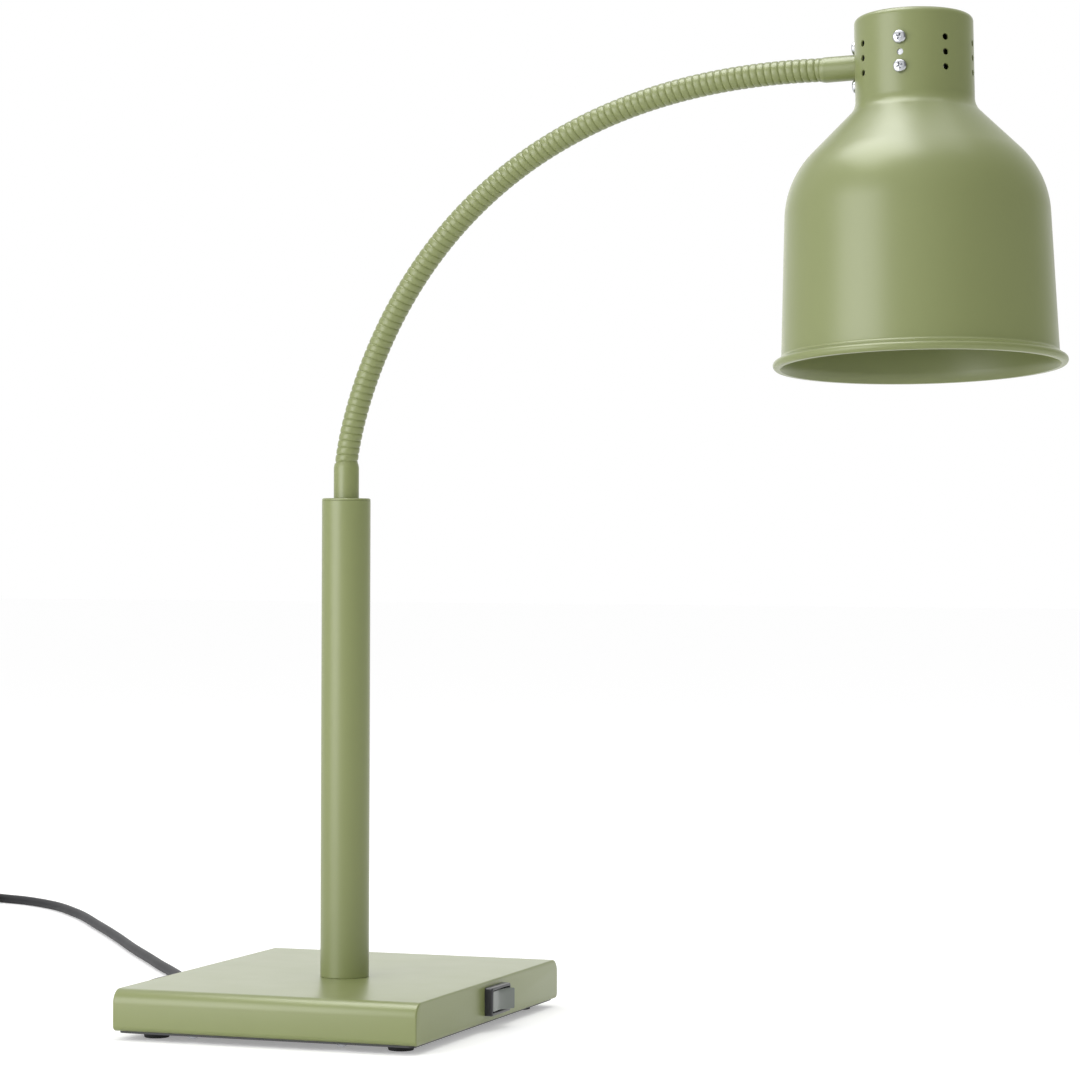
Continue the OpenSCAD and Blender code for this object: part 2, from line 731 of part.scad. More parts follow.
module bulb_contact() {
    color(zinc) at_head() translate([0, 0, cap_top + 3.8])
        cylinder(r1 = 4.8, r2 = 3.6, h = tip_z - cap_top - 3.8);
}

module bulb_filament() {
    level = cap_end - 14;
    color(iron) at_head() {
        for (s = [-1, 1]) translate([6 * s, 0, level]) cylinder(r = 0.6, h = cap_top - 0.6 - level);
        translate([0, 0, level]) rotate([90, 0, 0]) rotate_extrude(angle = -180)
            translate([6, 0]) circle(r = 0.6);
    }
}

// Mains cord: chosen points of the free stretch, from the strain relief to the coil,
// taken from the middle of the base
cord_r = cord_d / 2;
relief_tip = -base_l / 2 - relief_flange - relief_l;
coil_mid = [-599, 564];
coil_z = 4.4;
coil_out = 46;
coil_step = 7.5;
coil_turns = 4;
coil_start = 72;
coil_dir = [-sin(coil_start), cos(coil_start)];
coil_edge = coil_mid + coil_out * [cos(coil_start), sin(coil_start)];
coil_in = coil_edge - cord_d * coil_dir;
coil_off = coil_edge + cord_d * coil_dir;
coil_top = coil_z + coil_step;
plug_r = 18.6;
plug_face = 66.6;
pin_side = 9.5;
pin_root = 58;
tail_l = 58;
cord_route = [
    [relief_tip, relief_y, relief_z], [relief_tip - 6, relief_y, relief_z - 0.3], [-140, 31.2, 15.2],
    [-150, 36, 11.9], [-158.5, 46, 8.1], [-163, 61, 4.9], [-163.5, 75, 3.6], [-163, 90, 3.5],
    [-162.5, 106, 3.5], [-165.5, 122, 3.5], [-173, 139, 3.5], [-185, 157, 3.5], [-200, 178, 3.5],
    [-223, 209, 3.5], [-250, 247, 3.5], [-281, 290, 3.5], [-332, 364, 3.5], [-382, 434, 3.5], [-440, 512, 3.5],
    [-487, 562, 3.5], [-524, 587, 3.5], [-552, 597, 3.7],
    [coil_in[0] - 9 * coil_dir[0], coil_in[1] - 9 * coil_dir[1], coil_z], [coil_in[0], coil_in[1], coil_z]
];
tail_route = [
    [coil_off[0], coil_off[1], coil_top],
    [coil_off[0] + 9 * coil_dir[0], coil_off[1] + 9 * coil_dir[1], coil_top],
    [coil_off[0] + 30 * coil_dir[0], coil_off[1] + 30 * coil_dir[1], coil_top + 2.6],
    [coil_off[0] + 49 * coil_dir[0], coil_off[1] + 49 * coil_dir[1], plug_r],
    [coil_off[0] + tail_l * coil_dir[0], coil_off[1] + tail_l * coil_dir[1], plug_r]
];

// A smooth curve through the points, with extra points mirrored past its ends
function smooth(p, i, t) =
    let (
        n = len(p) - 1,
        a = i == 0 ? 2 * p[0] - p[1] : p[i - 1],
        d = i == n - 1 ? 2 * p[n] - p[n - 1] : p[i + 2],
        b = p[i],
        c = p[i + 1],
        k = norm(c - b),
        m0 = k * ((b - a) / norm(b - a) * k + (c - b) / k * norm(b - a)) / (norm(b - a) + k),
        m1 = k * ((c - b) / k * norm(d - c) + (d - c) / norm(d - c) * k) / (norm(d - c) + k)
    )
    (2 * pow(t, 3) - 3 * t * t + 1) * b + (pow(t, 3) - 2 * t * t + t) * m0
        + (3 * t * t - 2 * pow(t, 3)) * c + (pow(t, 3) - t * t) * m1;
function smooth_points(p, step) = concat(
    [for (i = [0:len(p) - 2]) let (n = max(1, round(norm(p[i + 1] - p[i]) / step)))
        for (q = [0:n - 1]) smooth(p, i, q / n)],
    [p[len(p) - 1]]
);

// A tube along points, square to them, with its sides level
module tube(points, r, n) {
    last = len(points) - 1;
    rings = [
        for (i = [0:last])
            let (
                d = points[min(i + 1, last)] - points[max(i - 1, 0)],
                t = d / norm(d),
                side = cross([0, 0, 1], t) / norm(cross([0, 0, 1], t)),
                up = cross(t, side)
            )
            for (j = [0:n - 1]) let (b = 360 * (j + 0.5) / n) points[i] + r * (cos(b) * side + sin(b) * up)
    ];
    polyhedron(points = rings, faces = tube_faces(last + 1, n), convexity = 10);
}

function run_length(p, i = 1) = i >= len(p) ? 0 : norm(p[i] - p[i - 1]) + run_length(p, i + 1);

// The coil spirals in on the table, climbs a layer in half a turn and spirals out again
function coil_r(turn) = coil_out - coil_step * min(turn, coil_turns - turn);
function coil_rise(turn) = let (u = min(1, max(0, (turn - coil_turns / 2 + 0.25) * 2))) u * u * (3 - 2 * u);
function coil_point(turn) = let (a = coil_start + 360 * turn, r = coil_r(turn))
    [coil_mid[0] + r * cos(a), coil_mid[1] + r * sin(a), coil_z + coil_step * coil_rise(turn)];
function coil_points(rings) = concat(
    [[coil_in[0], coil_in[1], coil_z]],
    [for (i = [0:coil_turns * rings]) coil_point(i / rings)],
    [[coil_off[0], coil_off[1], coil_top]]
);

module mains_cord() {
    color(dark) at_base() tube(smooth_points(cord_route, 17), cord_r, 8);
}

module cord_coil() {
    color(dark) at_base() tube(coil_points(24), cord_r, 6);
}

module cord_tail() {
    color(dark) at_base() tube(smooth_points(tail_route, 17), cord_r, 8);
}

module cord_tie() {
    half = coil_step / 2 + cord_r + 0.5;
    low = 0.7;
    high = coil_top + cord_r + 0.3;
    color(dark) at_base() translate([coil_mid[0], coil_mid[1], 0]) rotate([0, 0, coil_start + 180])
        translate([coil_out - coil_step, 4.5, 0]) rotate([90, 0, 0]) linear_extrude(9) difference() {
            translate([0, (high + low) / 2]) square([2 * half + 1.4, high - low + 1.4], center = true);
            translate([0, (high + low) / 2]) square([2 * half, high - low], center = true);
        }
}

module at_plug() {
    at_base() translate([coil_off[0] + tail_l * coil_dir[0], coil_off[1] + tail_l * coil_dir[1], plug_r])
        rotate([0, 0, coil_start + 90]) rotate([0, 90, 0]) children();
}

module plug_body() {
    color(dark) at_plug() difference() {
        rotate_extrude() polygon(concat(
            [[0, 0], [cord_r + 1.2, 0], [cord_r + 4, 24], [11, 27], [12, 34], [12.5, 44]],
            arc_pts([plug_r - 5, 53], 5, -55, 0, 5),
            [[plug_r, plug_face - 0.6], [plug_r - 0.6, plug_face], [0, plug_face]]
        ));
        for (s = [-1, 1]) translate([s * pin_side, 0, pin_root])
            cylinder(r = 2, h = plug_face - pin_root + 1);
        for (s = [-1, 1]) translate([-3.5, s * (plug_r - 0.8) - 1, 54]) cube([7, 2, 14]);
    }
}

module plug_pins() {
    color(zinc) at_plug() for (s = [-1, 1]) translate([s * pin_side, 0, 0]) {
        translate([0, 0, pin_root]) cylinder(r = 2, h = plug_face - pin_root);
        translate([0, 0, plug_face]) cylinder(r = 2.4, h = 17.4);
        translate([0, 0, plug_face + 17.4]) cylinder(r1 = 2.4, r2 = 1.5, h = 1.6);
    }
}

module plug_earth_clips() {
    color(zinc) at_plug() for (s = [-1, 1])
        translate([-2.5, s * (plug_r - 1.2) - 0.4, 54]) cube([5, 0.8, 11]);
}

// Least gap between points of the coil that are more than half a turn apart
coil_check = coil_points(24);
coil_gap = min([
    for (i = [0:len(coil_check) - 1]) for (j = [i + 12:1:len(coil_check) - 1])
        norm(coil_check[i] - coil_check[j])
]) - cord_d;
echo(coil_gap = coil_gap);
free_length = run_length(smooth_points(cord_route, 4));
tail_length = run_length(smooth_points(tail_route, 4));
echo(cord_length = free_length + run_length(coil_points(96)) + tail_length);
echo(base_x = base_x, path_len = path_len);
for (k = [0:segments - 2])
    let (s = joint_s(k), p = path_p(s))
        echo(joint = k, at = [base_x + post_x + p[0], post_y, p[1]], slope = path_a(s));

base_shell();
base_plate();
ballast_block();
ballast_screws();
base_plate_screws();
rubber_feet();
foot_screws();
foot_nuts();
terminal_block();
terminal_screws();
earth_stud();
base_wiring();
switch_body();
switch_terminals();
switch_rocker();
strain_relief();
strain_relief_nut();
post_tube();
post_foot_plug();
post_backing_plate();
post_nut();
post_cap();
lamp_cable();
lower_ferrule();
gooseneck(0);  // gooseneck_0
gooseneck(1);  // gooseneck_1
gooseneck(2);  // gooseneck_2
gooseneck(3);  // gooseneck_3
gooseneck(4);  // gooseneck_4
gooseneck(5);  // gooseneck_5
gooseneck(6);  // gooseneck_6
gooseneck(7);  // gooseneck_7
gooseneck(8);  // gooseneck_8
upper_ferrule();
arm_saddle();
arm_nut();
arm_screws();
shade();
holder_bracket();
holder_bracket_screws();
lamp_holder();
holder_screws();
holder_sleeve();
holder_contact();
holder_wires();
bulb_reflector();
bulb_lens();
bulb_cap();
bulb_insulator();
bulb_contact();
bulb_filament();
mains_cord();
cord_coil();
cord_tail();
cord_tie();
plug_body();
plug_pins();
plug_earth_clips();
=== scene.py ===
# Heat lamp on a flat steel base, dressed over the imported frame. Metres, +Z up,
# +X from the post towards the shade. Sizes repeat the part's own named values.
import json
import math

import bmesh
import bpy
from mathutils import Matrix, Vector


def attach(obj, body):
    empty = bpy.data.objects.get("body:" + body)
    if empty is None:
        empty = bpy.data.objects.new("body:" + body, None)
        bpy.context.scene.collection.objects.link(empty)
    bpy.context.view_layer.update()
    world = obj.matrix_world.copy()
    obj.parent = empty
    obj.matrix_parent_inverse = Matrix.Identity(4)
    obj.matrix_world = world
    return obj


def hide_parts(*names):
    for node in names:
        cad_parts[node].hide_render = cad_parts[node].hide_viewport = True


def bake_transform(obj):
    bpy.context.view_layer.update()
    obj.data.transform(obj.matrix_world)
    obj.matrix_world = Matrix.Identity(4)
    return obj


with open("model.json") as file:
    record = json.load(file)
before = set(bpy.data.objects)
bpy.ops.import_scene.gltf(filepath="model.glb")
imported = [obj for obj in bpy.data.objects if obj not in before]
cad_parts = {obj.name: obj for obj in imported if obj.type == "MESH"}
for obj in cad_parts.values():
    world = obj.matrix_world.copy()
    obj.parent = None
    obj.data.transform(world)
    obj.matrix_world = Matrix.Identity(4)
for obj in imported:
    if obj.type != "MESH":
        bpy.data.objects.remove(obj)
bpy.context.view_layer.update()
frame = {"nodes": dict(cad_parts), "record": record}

mm = 0.001

# Base, in millimetres as in the part
BASE_L = 195
BASE_W = 250
BASE_H = 25
SHEET = 1.5
TOP_EDGE_R = 8.5
LOW_EDGE_R = 3
FOOT_H = 4.3
PLATE_T = 1.2
SHELL_Z = FOOT_H + PLATE_T
BASE_TOP = SHELL_Z + BASE_H
RIM_FLANGE = 14
FOOT_D = 16.6
FOOT_X = BASE_L / 2 - 18.5
FOOT_Y = BASE_W / 2 - 23
PLATE_SCREW_X = 48
PLATE_SCREW_Y = BASE_W / 2 - 7.5

# Post and ferrules
POST_R = 15
POST_BORE_R = 13.5
STUD_HOLE_R = 6.2
POST_H = 295
POST_X = 6.4
POST_Y = -13.3
POST_TOP = BASE_TOP + POST_H
CAP_T = 1.5
FERRULE_TOP = POST_TOP + 21.5
LOW_FERRULE_R = 7.8
TOP_FERRULE_R = 7.5
SOCKET_R = 6.45

# Gooseneck
NECK_R = 7
GROOVE = 0.55
RIB_PITCH = 4.4
SEGMENTS = 9
TUCK_LOW = 7
TUCK_HIGH = 6
HEAD_REACH = 358
SLEEVE_MOUTH = 56
HEAD_Z = 580.2
HEAD_PITCH = math.radians(2.3)
HEAD_ROLL = math.radians(3.9)
ARM_END = HEAD_REACH - SLEEVE_MOUTH
ARM_END_Z = HEAD_Z - SLEEVE_MOUTH * math.tan(HEAD_PITCH) + 0.2

# Shade
SHADE_NECK_R = 34.8
BELL_TOP_R = 77.4
BELL_LOW_R = 80.4
SHADE_H = 206.2
SHADE_T = 1
RIM_Z = -179.6
TOP_Z = RIM_Z + SHADE_H
SHOULDER_R = 55
COVE_R = 12
LINE_SUM = 7.8
LIP_R = 2.6
LIP_MID = BELL_LOW_R + 2.6
VENT_R = 1.9
VENT_STEP = 8.7
ARM_SCREW_Z = 11.4
SIDE_SCREW_Z = 8.5
SCREW_R = 4
SCREW_H = 2.6

# Bulb
TIP_Z = -2
BULB_R = 60.5
BULB_NECK_R = 15
BULB_RIM_Z = TIP_Z - 121
BULB_FACE_Z = TIP_Z - 136
CAP_END = TIP_Z - 27

# Switch
SWITCH_L = 33.4
SWITCH_W = 17.4
SWITCH_PROUD = 5
SWITCH_Y = 6.3
SWITCH_Z = SHELL_Z + BASE_H / 2 + 0.2
SWITCH_FACE = BASE_L / 2 + SWITCH_PROUD
PIVOT_X = SWITCH_FACE - 5.5
ROCKER_R = 14.5
ROCKER_TURN = math.radians(12)
SLOT_L = 2 * ROCKER_R + 1
SLOT_W = SWITCH_W - 4

# Cord
CORD_R = 3.5
RELIEF_Y = 30
RELIEF_Z = SHELL_Z + 12
RELIEF_FLANGE = 3
RELIEF_L = 24
RELIEF_HOLE_R = 6.2
COIL_MID = (-599, 564)
COIL_Z = 4.4
COIL_OUT = 46
COIL_STEP = 7.5
COIL_TURNS = 4
COIL_START = math.radians(72)
PLUG_R = 18.6
PLUG_FACE = 66.6
TAIL_L = 58

# The base's middle, from the part's origin
head_right = LIP_MID * math.sqrt(
    math.cos(HEAD_PITCH) ** 2 + (math.sin(HEAD_ROLL) * math.sin(HEAD_PITCH)) ** 2
)
head_right += LIP_R - (RIM_Z + LIP_R) * math.cos(HEAD_ROLL) * math.sin(HEAD_PITCH)
BASE_X = -(POST_X + HEAD_REACH + head_right - BASE_L / 2) / 2

to_base = Matrix.Translation((BASE_X * mm, 0, 0)) @ Matrix.Scale(mm, 4)
to_post = Matrix.Translation(((BASE_X + POST_X) * mm, POST_Y * mm, 0)) @ Matrix.Scale(mm, 4)
to_head = (
    to_post
    @ Matrix.Translation((HEAD_REACH, 0, HEAD_Z))
    @ Matrix.Rotation(-HEAD_PITCH, 4, "Y")
    @ Matrix.Rotation(-HEAD_ROLL, 4, "X")
)


# Camera, at the photograph's height and angle
def make_camera():
    from_base = Vector((878.6, -2127.5, 301.1))
    heading = math.radians(19.42)
    lean = math.radians(0.209)
    focal_px = 3700
    frame_px = 1080
    data = bpy.data.cameras.new("camera")
    data.sensor_width = 36
    data.lens = focal_px / frame_px * data.sensor_width
    data.clip_start = 0.05
    data.clip_end = 60
    camera = bpy.data.objects.new("camera", data)
    bpy.context.scene.collection.objects.link(camera)
    upright = Matrix.Rotation(heading, 4, "Z") @ Matrix.Rotation(math.pi / 2, 4, "X")
    camera.matrix_world = Matrix.Translation(to_base @ from_base) @ upright @ Matrix.Rotation(lean, 4, "Z")
    bpy.context.scene.camera = camera


# Node helpers
class Shader:
    def __init__(self, name):
        self.material = bpy.data.materials.new(name)
        self.material.use_nodes = True
        self.nodes = self.material.node_tree.nodes
        self.links = self.material.node_tree.links
        self.principled = self.nodes["Principled BSDF"]

    def add(self, kind, **values):
        node = self.nodes.new(kind)
        for key, value in values.items():
            if key in node.inputs:
                node.inputs[key].default_value = value
            else:
                setattr(node, key, value)
        return node

    def link(self, a, out, b, into):
        self.links.new(a.outputs[out], b.inputs[into])

    def noise(self, scale, detail=3.0):
        where = self.add("ShaderNodeTexCoord")
        node = self.add("ShaderNodeTexNoise", Scale=scale, Detail=detail, Roughness=0.5)
        self.link(where, "Object", node, "Vector")
        return node

    def ramp(self, source, out, stops):
        node = self.add("ShaderNodeValToRGB")
        ramp = node.color_ramp
        ramp.elements[0].position = stops[0][0]
        ramp.elements[0].color = stops[0][1]
        ramp.elements[1].position = stops[-1][0]
        ramp.elements[1].color = stops[-1][1]
        for place, colour in stops[1:-1]:
            ramp.elements.new(place).color = colour
        self.link(source, out, node, "Fac")
        return node

    def spread(self, source, low, high):
        node = self.add("ShaderNodeMapRange")
        node.inputs["To Min"].default_value = low
        node.inputs["To Max"].default_value = high
        self.link(source, "Fac", node, "Value")
        return node

    def bump(self, source, out, strength, distance, before=None):
        node = self.add("ShaderNodeBump", Strength=strength, Distance=distance)
        self.link(source, out, node, "Height")
        if before:
            self.link(before, "Normal", node, "Normal")
        self.link(node, "Normal", self.principled, "Normal")
        return node


def linear(r, g, b):
    def one(v):
        v = v / 255
        return v / 12.92 if v <= 0.04045 else ((v + 0.055) / 1.055) ** 2.4

    return (one(r), one(g), one(b), 1)


def shifted(colour, factor):
    return tuple(min(1, c * factor) for c in colour[:3]) + (1,)


# A speckled surface: colour drifts a little, gloss varies and a fine grain lifts the light
def surface(name, colour, rough, metallic=0.0, drift=0.04, grain=1400, depth=0.00004, **more):
    s = Shader(name)
    cloud = s.noise(9.0, 4.0)
    tint = s.ramp(cloud, "Fac", [(0.3, shifted(colour, 1 - drift)), (0.7, shifted(colour, 1 + drift))])
    s.link(tint, "Color", s.principled, "Base Color")
    patches = s.noise(60.0, 3.0)
    gloss = s.spread(patches, rough * 0.88, rough * 1.12)
    s.link(gloss, "Result", s.principled, "Roughness")
    fine = s.noise(grain, 2.0)
    s.bump(fine, "Fac", 0.35, depth)
    s.principled.inputs["Metallic"].default_value = metallic
    for key, value in more.items():
        s.principled.inputs[key.replace("_", " ")].default_value = value
    return s


# Powder coat: a soft orange-peel wave under a fine grain, faintly darker specks, satin gloss
def powder_coat():
    colour = linear(126, 134, 85)
    s = Shader("powder_coat")
    cloud = s.noise(6.0, 4.0)
    tint = s.ramp(cloud, "Fac", [(0.3, shifted(colour, 0.985)), (0.7, shifted(colour, 1.015))])
    fleck = s.noise(2600.0, 1.0)
    fleck_tint = s.ramp(fleck, "Fac", [(0.28, (0.9, 0.9, 0.9, 1)), (0.42, (1, 1, 1, 1))])
    mix = s.add("ShaderNodeMixRGB", blend_type="MULTIPLY", Fac=0.35)
    s.link(tint, "Color", mix, "Color1")
    s.link(fleck_tint, "Color", mix, "Color2")
    s.link(mix, "Color", s.principled, "Base Color")
    patches = s.noise(35.0, 3.0)
    gloss = s.spread(patches, 0.3, 0.36)
    s.link(gloss, "Result", s.principled, "Roughness")
    peel = s.noise(420.0, 2.0)
    wave = s.bump(peel, "Fac", 0.18, 0.00012)
    fine = s.noise(1900.0, 2.0)
    s.bump(fine, "Fac", 0.15, 0.00004, wave)
    s.principled.inputs["IOR"].default_value = 1.5
    return s.material


# Brushed or turned metal: a fine streaky grain, scaled on each axis by stretch
def brushed(name, colour, rough, stretch):
    s = Shader(name)
    where = s.add("ShaderNodeTexCoord")
    scale = s.add("ShaderNodeMapping")
    scale.inputs["Scale"].default_value = stretch
    s.link(where, "Object", scale, "Vector")
    streak = s.add("ShaderNodeTexNoise", Scale=900.0, Detail=3.0)
    s.link(scale, "Vector", streak, "Vector")
    tint = s.ramp(streak, "Fac", [(0.3, shifted(colour, 0.9)), (0.7, shifted(colour, 1.06))])
    s.link(tint, "Color", s.principled, "Base Color")
    gloss = s.spread(streak, rough * 0.75, rough * 1.3)
    s.link(gloss, "Result", s.principled, "Roughness")
    s.bump(streak, "Fac", 0.2, 0.00003)
    s.principled.inputs["Metallic"].default_value = 1.0
    return s.material


# Cast iron: coarse pitted skin
def cast_iron():
    s = surface("cast_ballast", linear(74, 75, 78), 0.62, metallic=0.6, drift=0.12, grain=240, depth=0.0004)
    return s.material


def glass(name, colour, rough, wave):
    s = Shader(name)
    s.principled.inputs["Transmission Weight"].default_value = 1.0
    s.principled.inputs["IOR"].default_value = 1.5
    cloud = s.noise(30.0, 2.0)
    tint = s.ramp(cloud, "Fac", [(0.2, shifted(colour, 0.98)), (0.8, colour)])
    s.link(tint, "Color", s.principled, "Base Color")
    stipple = s.add("ShaderNodeTexVoronoi", Scale=260.0)
    where = s.add("ShaderNodeTexCoord")
    s.link(where, "Object", stipple, "Vector")
    s.bump(stipple, "Distance", wave, 0.0006)
    gloss = s.spread(cloud, rough * 0.9, rough * 1.1)
    s.link(gloss, "Result", s.principled, "Roughness")
    return s.material


def make_materials():
    return {
        "powder_coat": powder_coat(),
        "plate_paint": surface("plate_paint", linear(40, 41, 42), 0.5).material,
        "cast_ballast": cast_iron(),
        "zinc_screw": brushed("zinc_screw", linear(188, 190, 194), 0.28, (1, 1, 9)),
        "zinc_steel": brushed("zinc_steel", linear(182, 184, 188), 0.34, (1, 8, 1)),
        "chrome_screw": brushed("chrome_screw", linear(186, 188, 192), 0.2, (1, 1, 1)),
        "black_rubber": surface("black_rubber", linear(26, 26, 27), 0.68, drift=0.1, grain=700).material,
        "soft_black": surface("soft_black", linear(36, 36, 38), 0.5, drift=0.06, grain=900).material,
        "cord_rubber": surface(
            "cord_rubber", linear(44, 44, 46), 0.6, drift=0.05, grain=1100, Specular_IOR_Level=0.3
        ).material,
        "pvc_lead": surface("pvc_lead", linear(48, 48, 51), 0.45).material,
        "white_nylon": surface("white_nylon", linear(226, 224, 216), 0.5, drift=0.02).material,
        "black_plastic": surface("black_plastic", linear(40, 40, 44), 0.3, grain=500).material,
        "grey_green_plastic": surface(
            "grey_green_plastic", linear(112, 118, 112), 0.16, grain=300, depth=0.00001
        ).material,
        "brass_part": brushed("brass_part", linear(196, 158, 80), 0.3, (6, 1, 1)),
        "porcelain": surface(
            "porcelain", linear(240, 238, 230), 0.14, drift=0.015, grain=200, Coat_Weight=0.6
        ).material,
        "glass_sleeve": surface(
            "glass_sleeve", linear(226, 222, 210), 0.75, grain=2200, depth=0.0002
        ).material,
        "mirror_glass": surface(
            "mirror_glass", linear(222, 224, 226), 0.12, metallic=1.0, drift=0.02, grain=90
        ).material,
        "frosted_glass": glass("frosted_glass", linear(246, 244, 238), 0.28, 0.5),
        "nickel_cap": brushed("nickel_cap", linear(204, 202, 194), 0.24, (1, 1, 8)),
        "tungsten": surface("tungsten", linear(98, 98, 102), 0.5, metallic=1.0).material,
    }


# Mesh helpers: pieces are made in millimetres in a local frame, then placed
def piece_from(bm, name, place, material, body, smooth=40):
    bmesh.ops.recalc_face_normals(bm, faces=bm.faces[:])
    mesh = bpy.data.meshes.new(name)
    bm.to_mesh(mesh)
    bm.free()
    mesh.transform(place)
    mesh.polygons.foreach_set("use_smooth", [True] * len(mesh.polygons))
    mesh.materials.append(MATERIALS[material])
    obj = bpy.data.objects.new(name, mesh)
    bpy.context.scene.collection.objects.link(obj)
    mesh.set_sharp_from_angle(angle=math.radians(smooth))
    if body:
        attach(obj, body)
    return obj


def arc(cx, cy, r, a0, a1, n=8):
    steps = [a0 + (a1 - a0) * i / n for i in range(n + 1)]
    return [(cx + r * math.cos(math.radians(a)), cy + r * math.sin(math.radians(a))) for a in steps]


# Faces between neighbouring rings of vertices, each ring a list that closes on itself
def skin(bm, rings):
    n = len(rings[0])
    for a, b in zip(rings, rings[1:]):
        for j in range(n):
            k = (j + 1) % n
            quad = [a[j], a[k], b[k], b[j]]
            corners = list(dict.fromkeys(quad))
            if len(corners) > 2:
                bm.faces.new(corners)


# A body of revolution about local Z from (radius, height) points; loop joins the last point to the first
def lathe(points, sides=96, loop=False):
    bm = bmesh.new()
    rings = []
    for r, z in points:
        if r < 1e-6:
            tip = bm.verts.new((0, 0, z))
            rings.append([tip] * sides)
        else:
            turns = [2 * math.pi * j / sides for j in range(sides)]
            rings.append([bm.verts.new((r * math.cos(a), r * math.sin(a), z)) for a in turns])
    if loop:
        rings.append(rings[0])
    skin(bm, rings)
    return bm


# A round pin that cuts a hole from one height to another
def drill(r, low, high, sides=48):
    return lathe([(0.001, low), (r, low), (r, high), (0.001, high)], sides)


# A rounded rectangle's outline, counter-clockwise, each corner an arc
def rounded_rect(l, w, r, n=6):
    corners = [(1, -1, -90), (1, 1, 0), (-1, 1, 90), (-1, -1, 180)]
    points = []
    for sx, sy, a in corners:
        points += arc(sx * (l / 2 - r), sy * (w / 2 - r), r, a, a + 90, n)
    return points


# A slab that rises along local Z through outlines given as (length, width, radius, height)
def stack(levels, n=6):
    bm = bmesh.new()
    rings = []
    for l, w, r, z in levels:
        rings.append([bm.verts.new((x, y, z)) for x, y in rounded_rect(l, w, r, n)])
    skin(bm, rings)
    bm.faces.new(rings[0])
    bm.faces.new(rings[-1])
    return bm


def cut(obj, cutters):
    for cutter in cutters:
        modifier = obj.modifiers.new("cut", "BOOLEAN")
        modifier.operation = "DIFFERENCE"
        modifier.solver = "EXACT"
        modifier.object = cutter
    bpy.context.view_layer.update()
    graph = bpy.context.evaluated_depsgraph_get()
    mesh = bpy.data.meshes.new_from_object(obj.evaluated_get(graph))
    obj.modifiers.clear()
    obj.data = mesh
    for cutter in cutters:
        bpy.data.objects.remove(cutter)


# A throwaway solid that cuts others; it isn't a piece
def cutter_from(bm, place):
    bmesh.ops.recalc_face_normals(bm, faces=bm.faces[:])
    mesh = bpy.data.meshes.new("cutter")
    bm.to_mesh(mesh)
    bm.free()
    mesh.transform(place)
    obj = bpy.data.objects.new("cutter", mesh)
    bpy.context.scene.collection.objects.link(obj)
    return obj


# A smooth curve through chosen points, the same as the part's
def smooth_points(points, step):
    p = [Vector(q) for q in points]
    out = []
    for i in range(len(p) - 1):
        b = p[i]
        c = p[i + 1]
        a = 2 * b - c if i == 0 else p[i - 1]
        d = 2 * c - b if i == len(p) - 2 else p[i + 2]
        k = (c - b).length
        ka = (b - a).length
        kd = (d - c).length
        m0 = k * ((b - a) / ka * k + (c - b) / k * ka) / (ka + k)
        m1 = k * ((c - b) / k * kd + (d - c) / kd * k) / (k + kd)
        n = max(1, round(k / step))
        for q in range(n):
            t = q / n
            out.append(
                (2 * t**3 - 3 * t * t + 1) * b + (t**3 - 2 * t * t + t) * m0
                + (3 * t * t - 2 * t**3) * c + (t**3 - t * t) * m1
            )
    out.append(p[-1])
    return out


MATERIALS = make_materials()
bpy.context.scene.view_settings.view_transform = "Standard"
make_camera()

# Route of the mains cord, in millimetres from the base's middle, as in the part
RELIEF_TIP = -BASE_L / 2 - RELIEF_FLANGE - RELIEF_L
COIL_DIR = (-math.sin(COIL_START), math.cos(COIL_START))
COIL_EDGE = (COIL_MID[0] + COIL_OUT * math.cos(COIL_START), COIL_MID[1] + COIL_OUT * math.sin(COIL_START))
COIL_TOP = COIL_Z + COIL_STEP


def off_coil(along, z):
    return (COIL_EDGE[0] + along * COIL_DIR[0], COIL_EDGE[1] + along * COIL_DIR[1], z)


CORD_ROUTE = [
    (RELIEF_TIP, RELIEF_Y, RELIEF_Z), (RELIEF_TIP - 6, RELIEF_Y, RELIEF_Z - 0.3), (-140, 31.2, 15.2),
    (-150, 36, 11.9), (-158.5, 46, 8.1), (-163, 61, 4.9), (-163.5, 75, 3.6), (-163, 90, 3.5),
    (-162.5, 106, 3.5), (-165.5, 122, 3.5), (-173, 139, 3.5), (-185, 157, 3.5), (-200, 178, 3.5),
    (-223, 209, 3.5), (-250, 247, 3.5), (-281, 290, 3.5), (-332, 364, 3.5), (-382, 434, 3.5),
    (-440, 512, 3.5), (-487, 562, 3.5), (-524, 587, 3.5), (-552, 597, 3.7),
    off_coil(-16, COIL_Z), off_coil(-7, COIL_Z),
]
TAIL_ROUTE = [
    off_coil(7, COIL_TOP), off_coil(16, COIL_TOP), off_coil(37, COIL_TOP + 2.6),
    off_coil(56, PLUG_R), off_coil(7 + TAIL_L, PLUG_R),
]


def coil_point(turn):
    a = COIL_START + 2 * math.pi * turn
    r = COIL_OUT - COIL_STEP * min(turn, COIL_TURNS - turn)
    u = min(1, max(0, (turn - COIL_TURNS / 2 + 0.25) * 2))
    rise = COIL_STEP * u * u * (3 - 2 * u)
    return Vector((COIL_MID[0] + r * math.cos(a), COIL_MID[1] + r * math.sin(a), COIL_Z + rise))


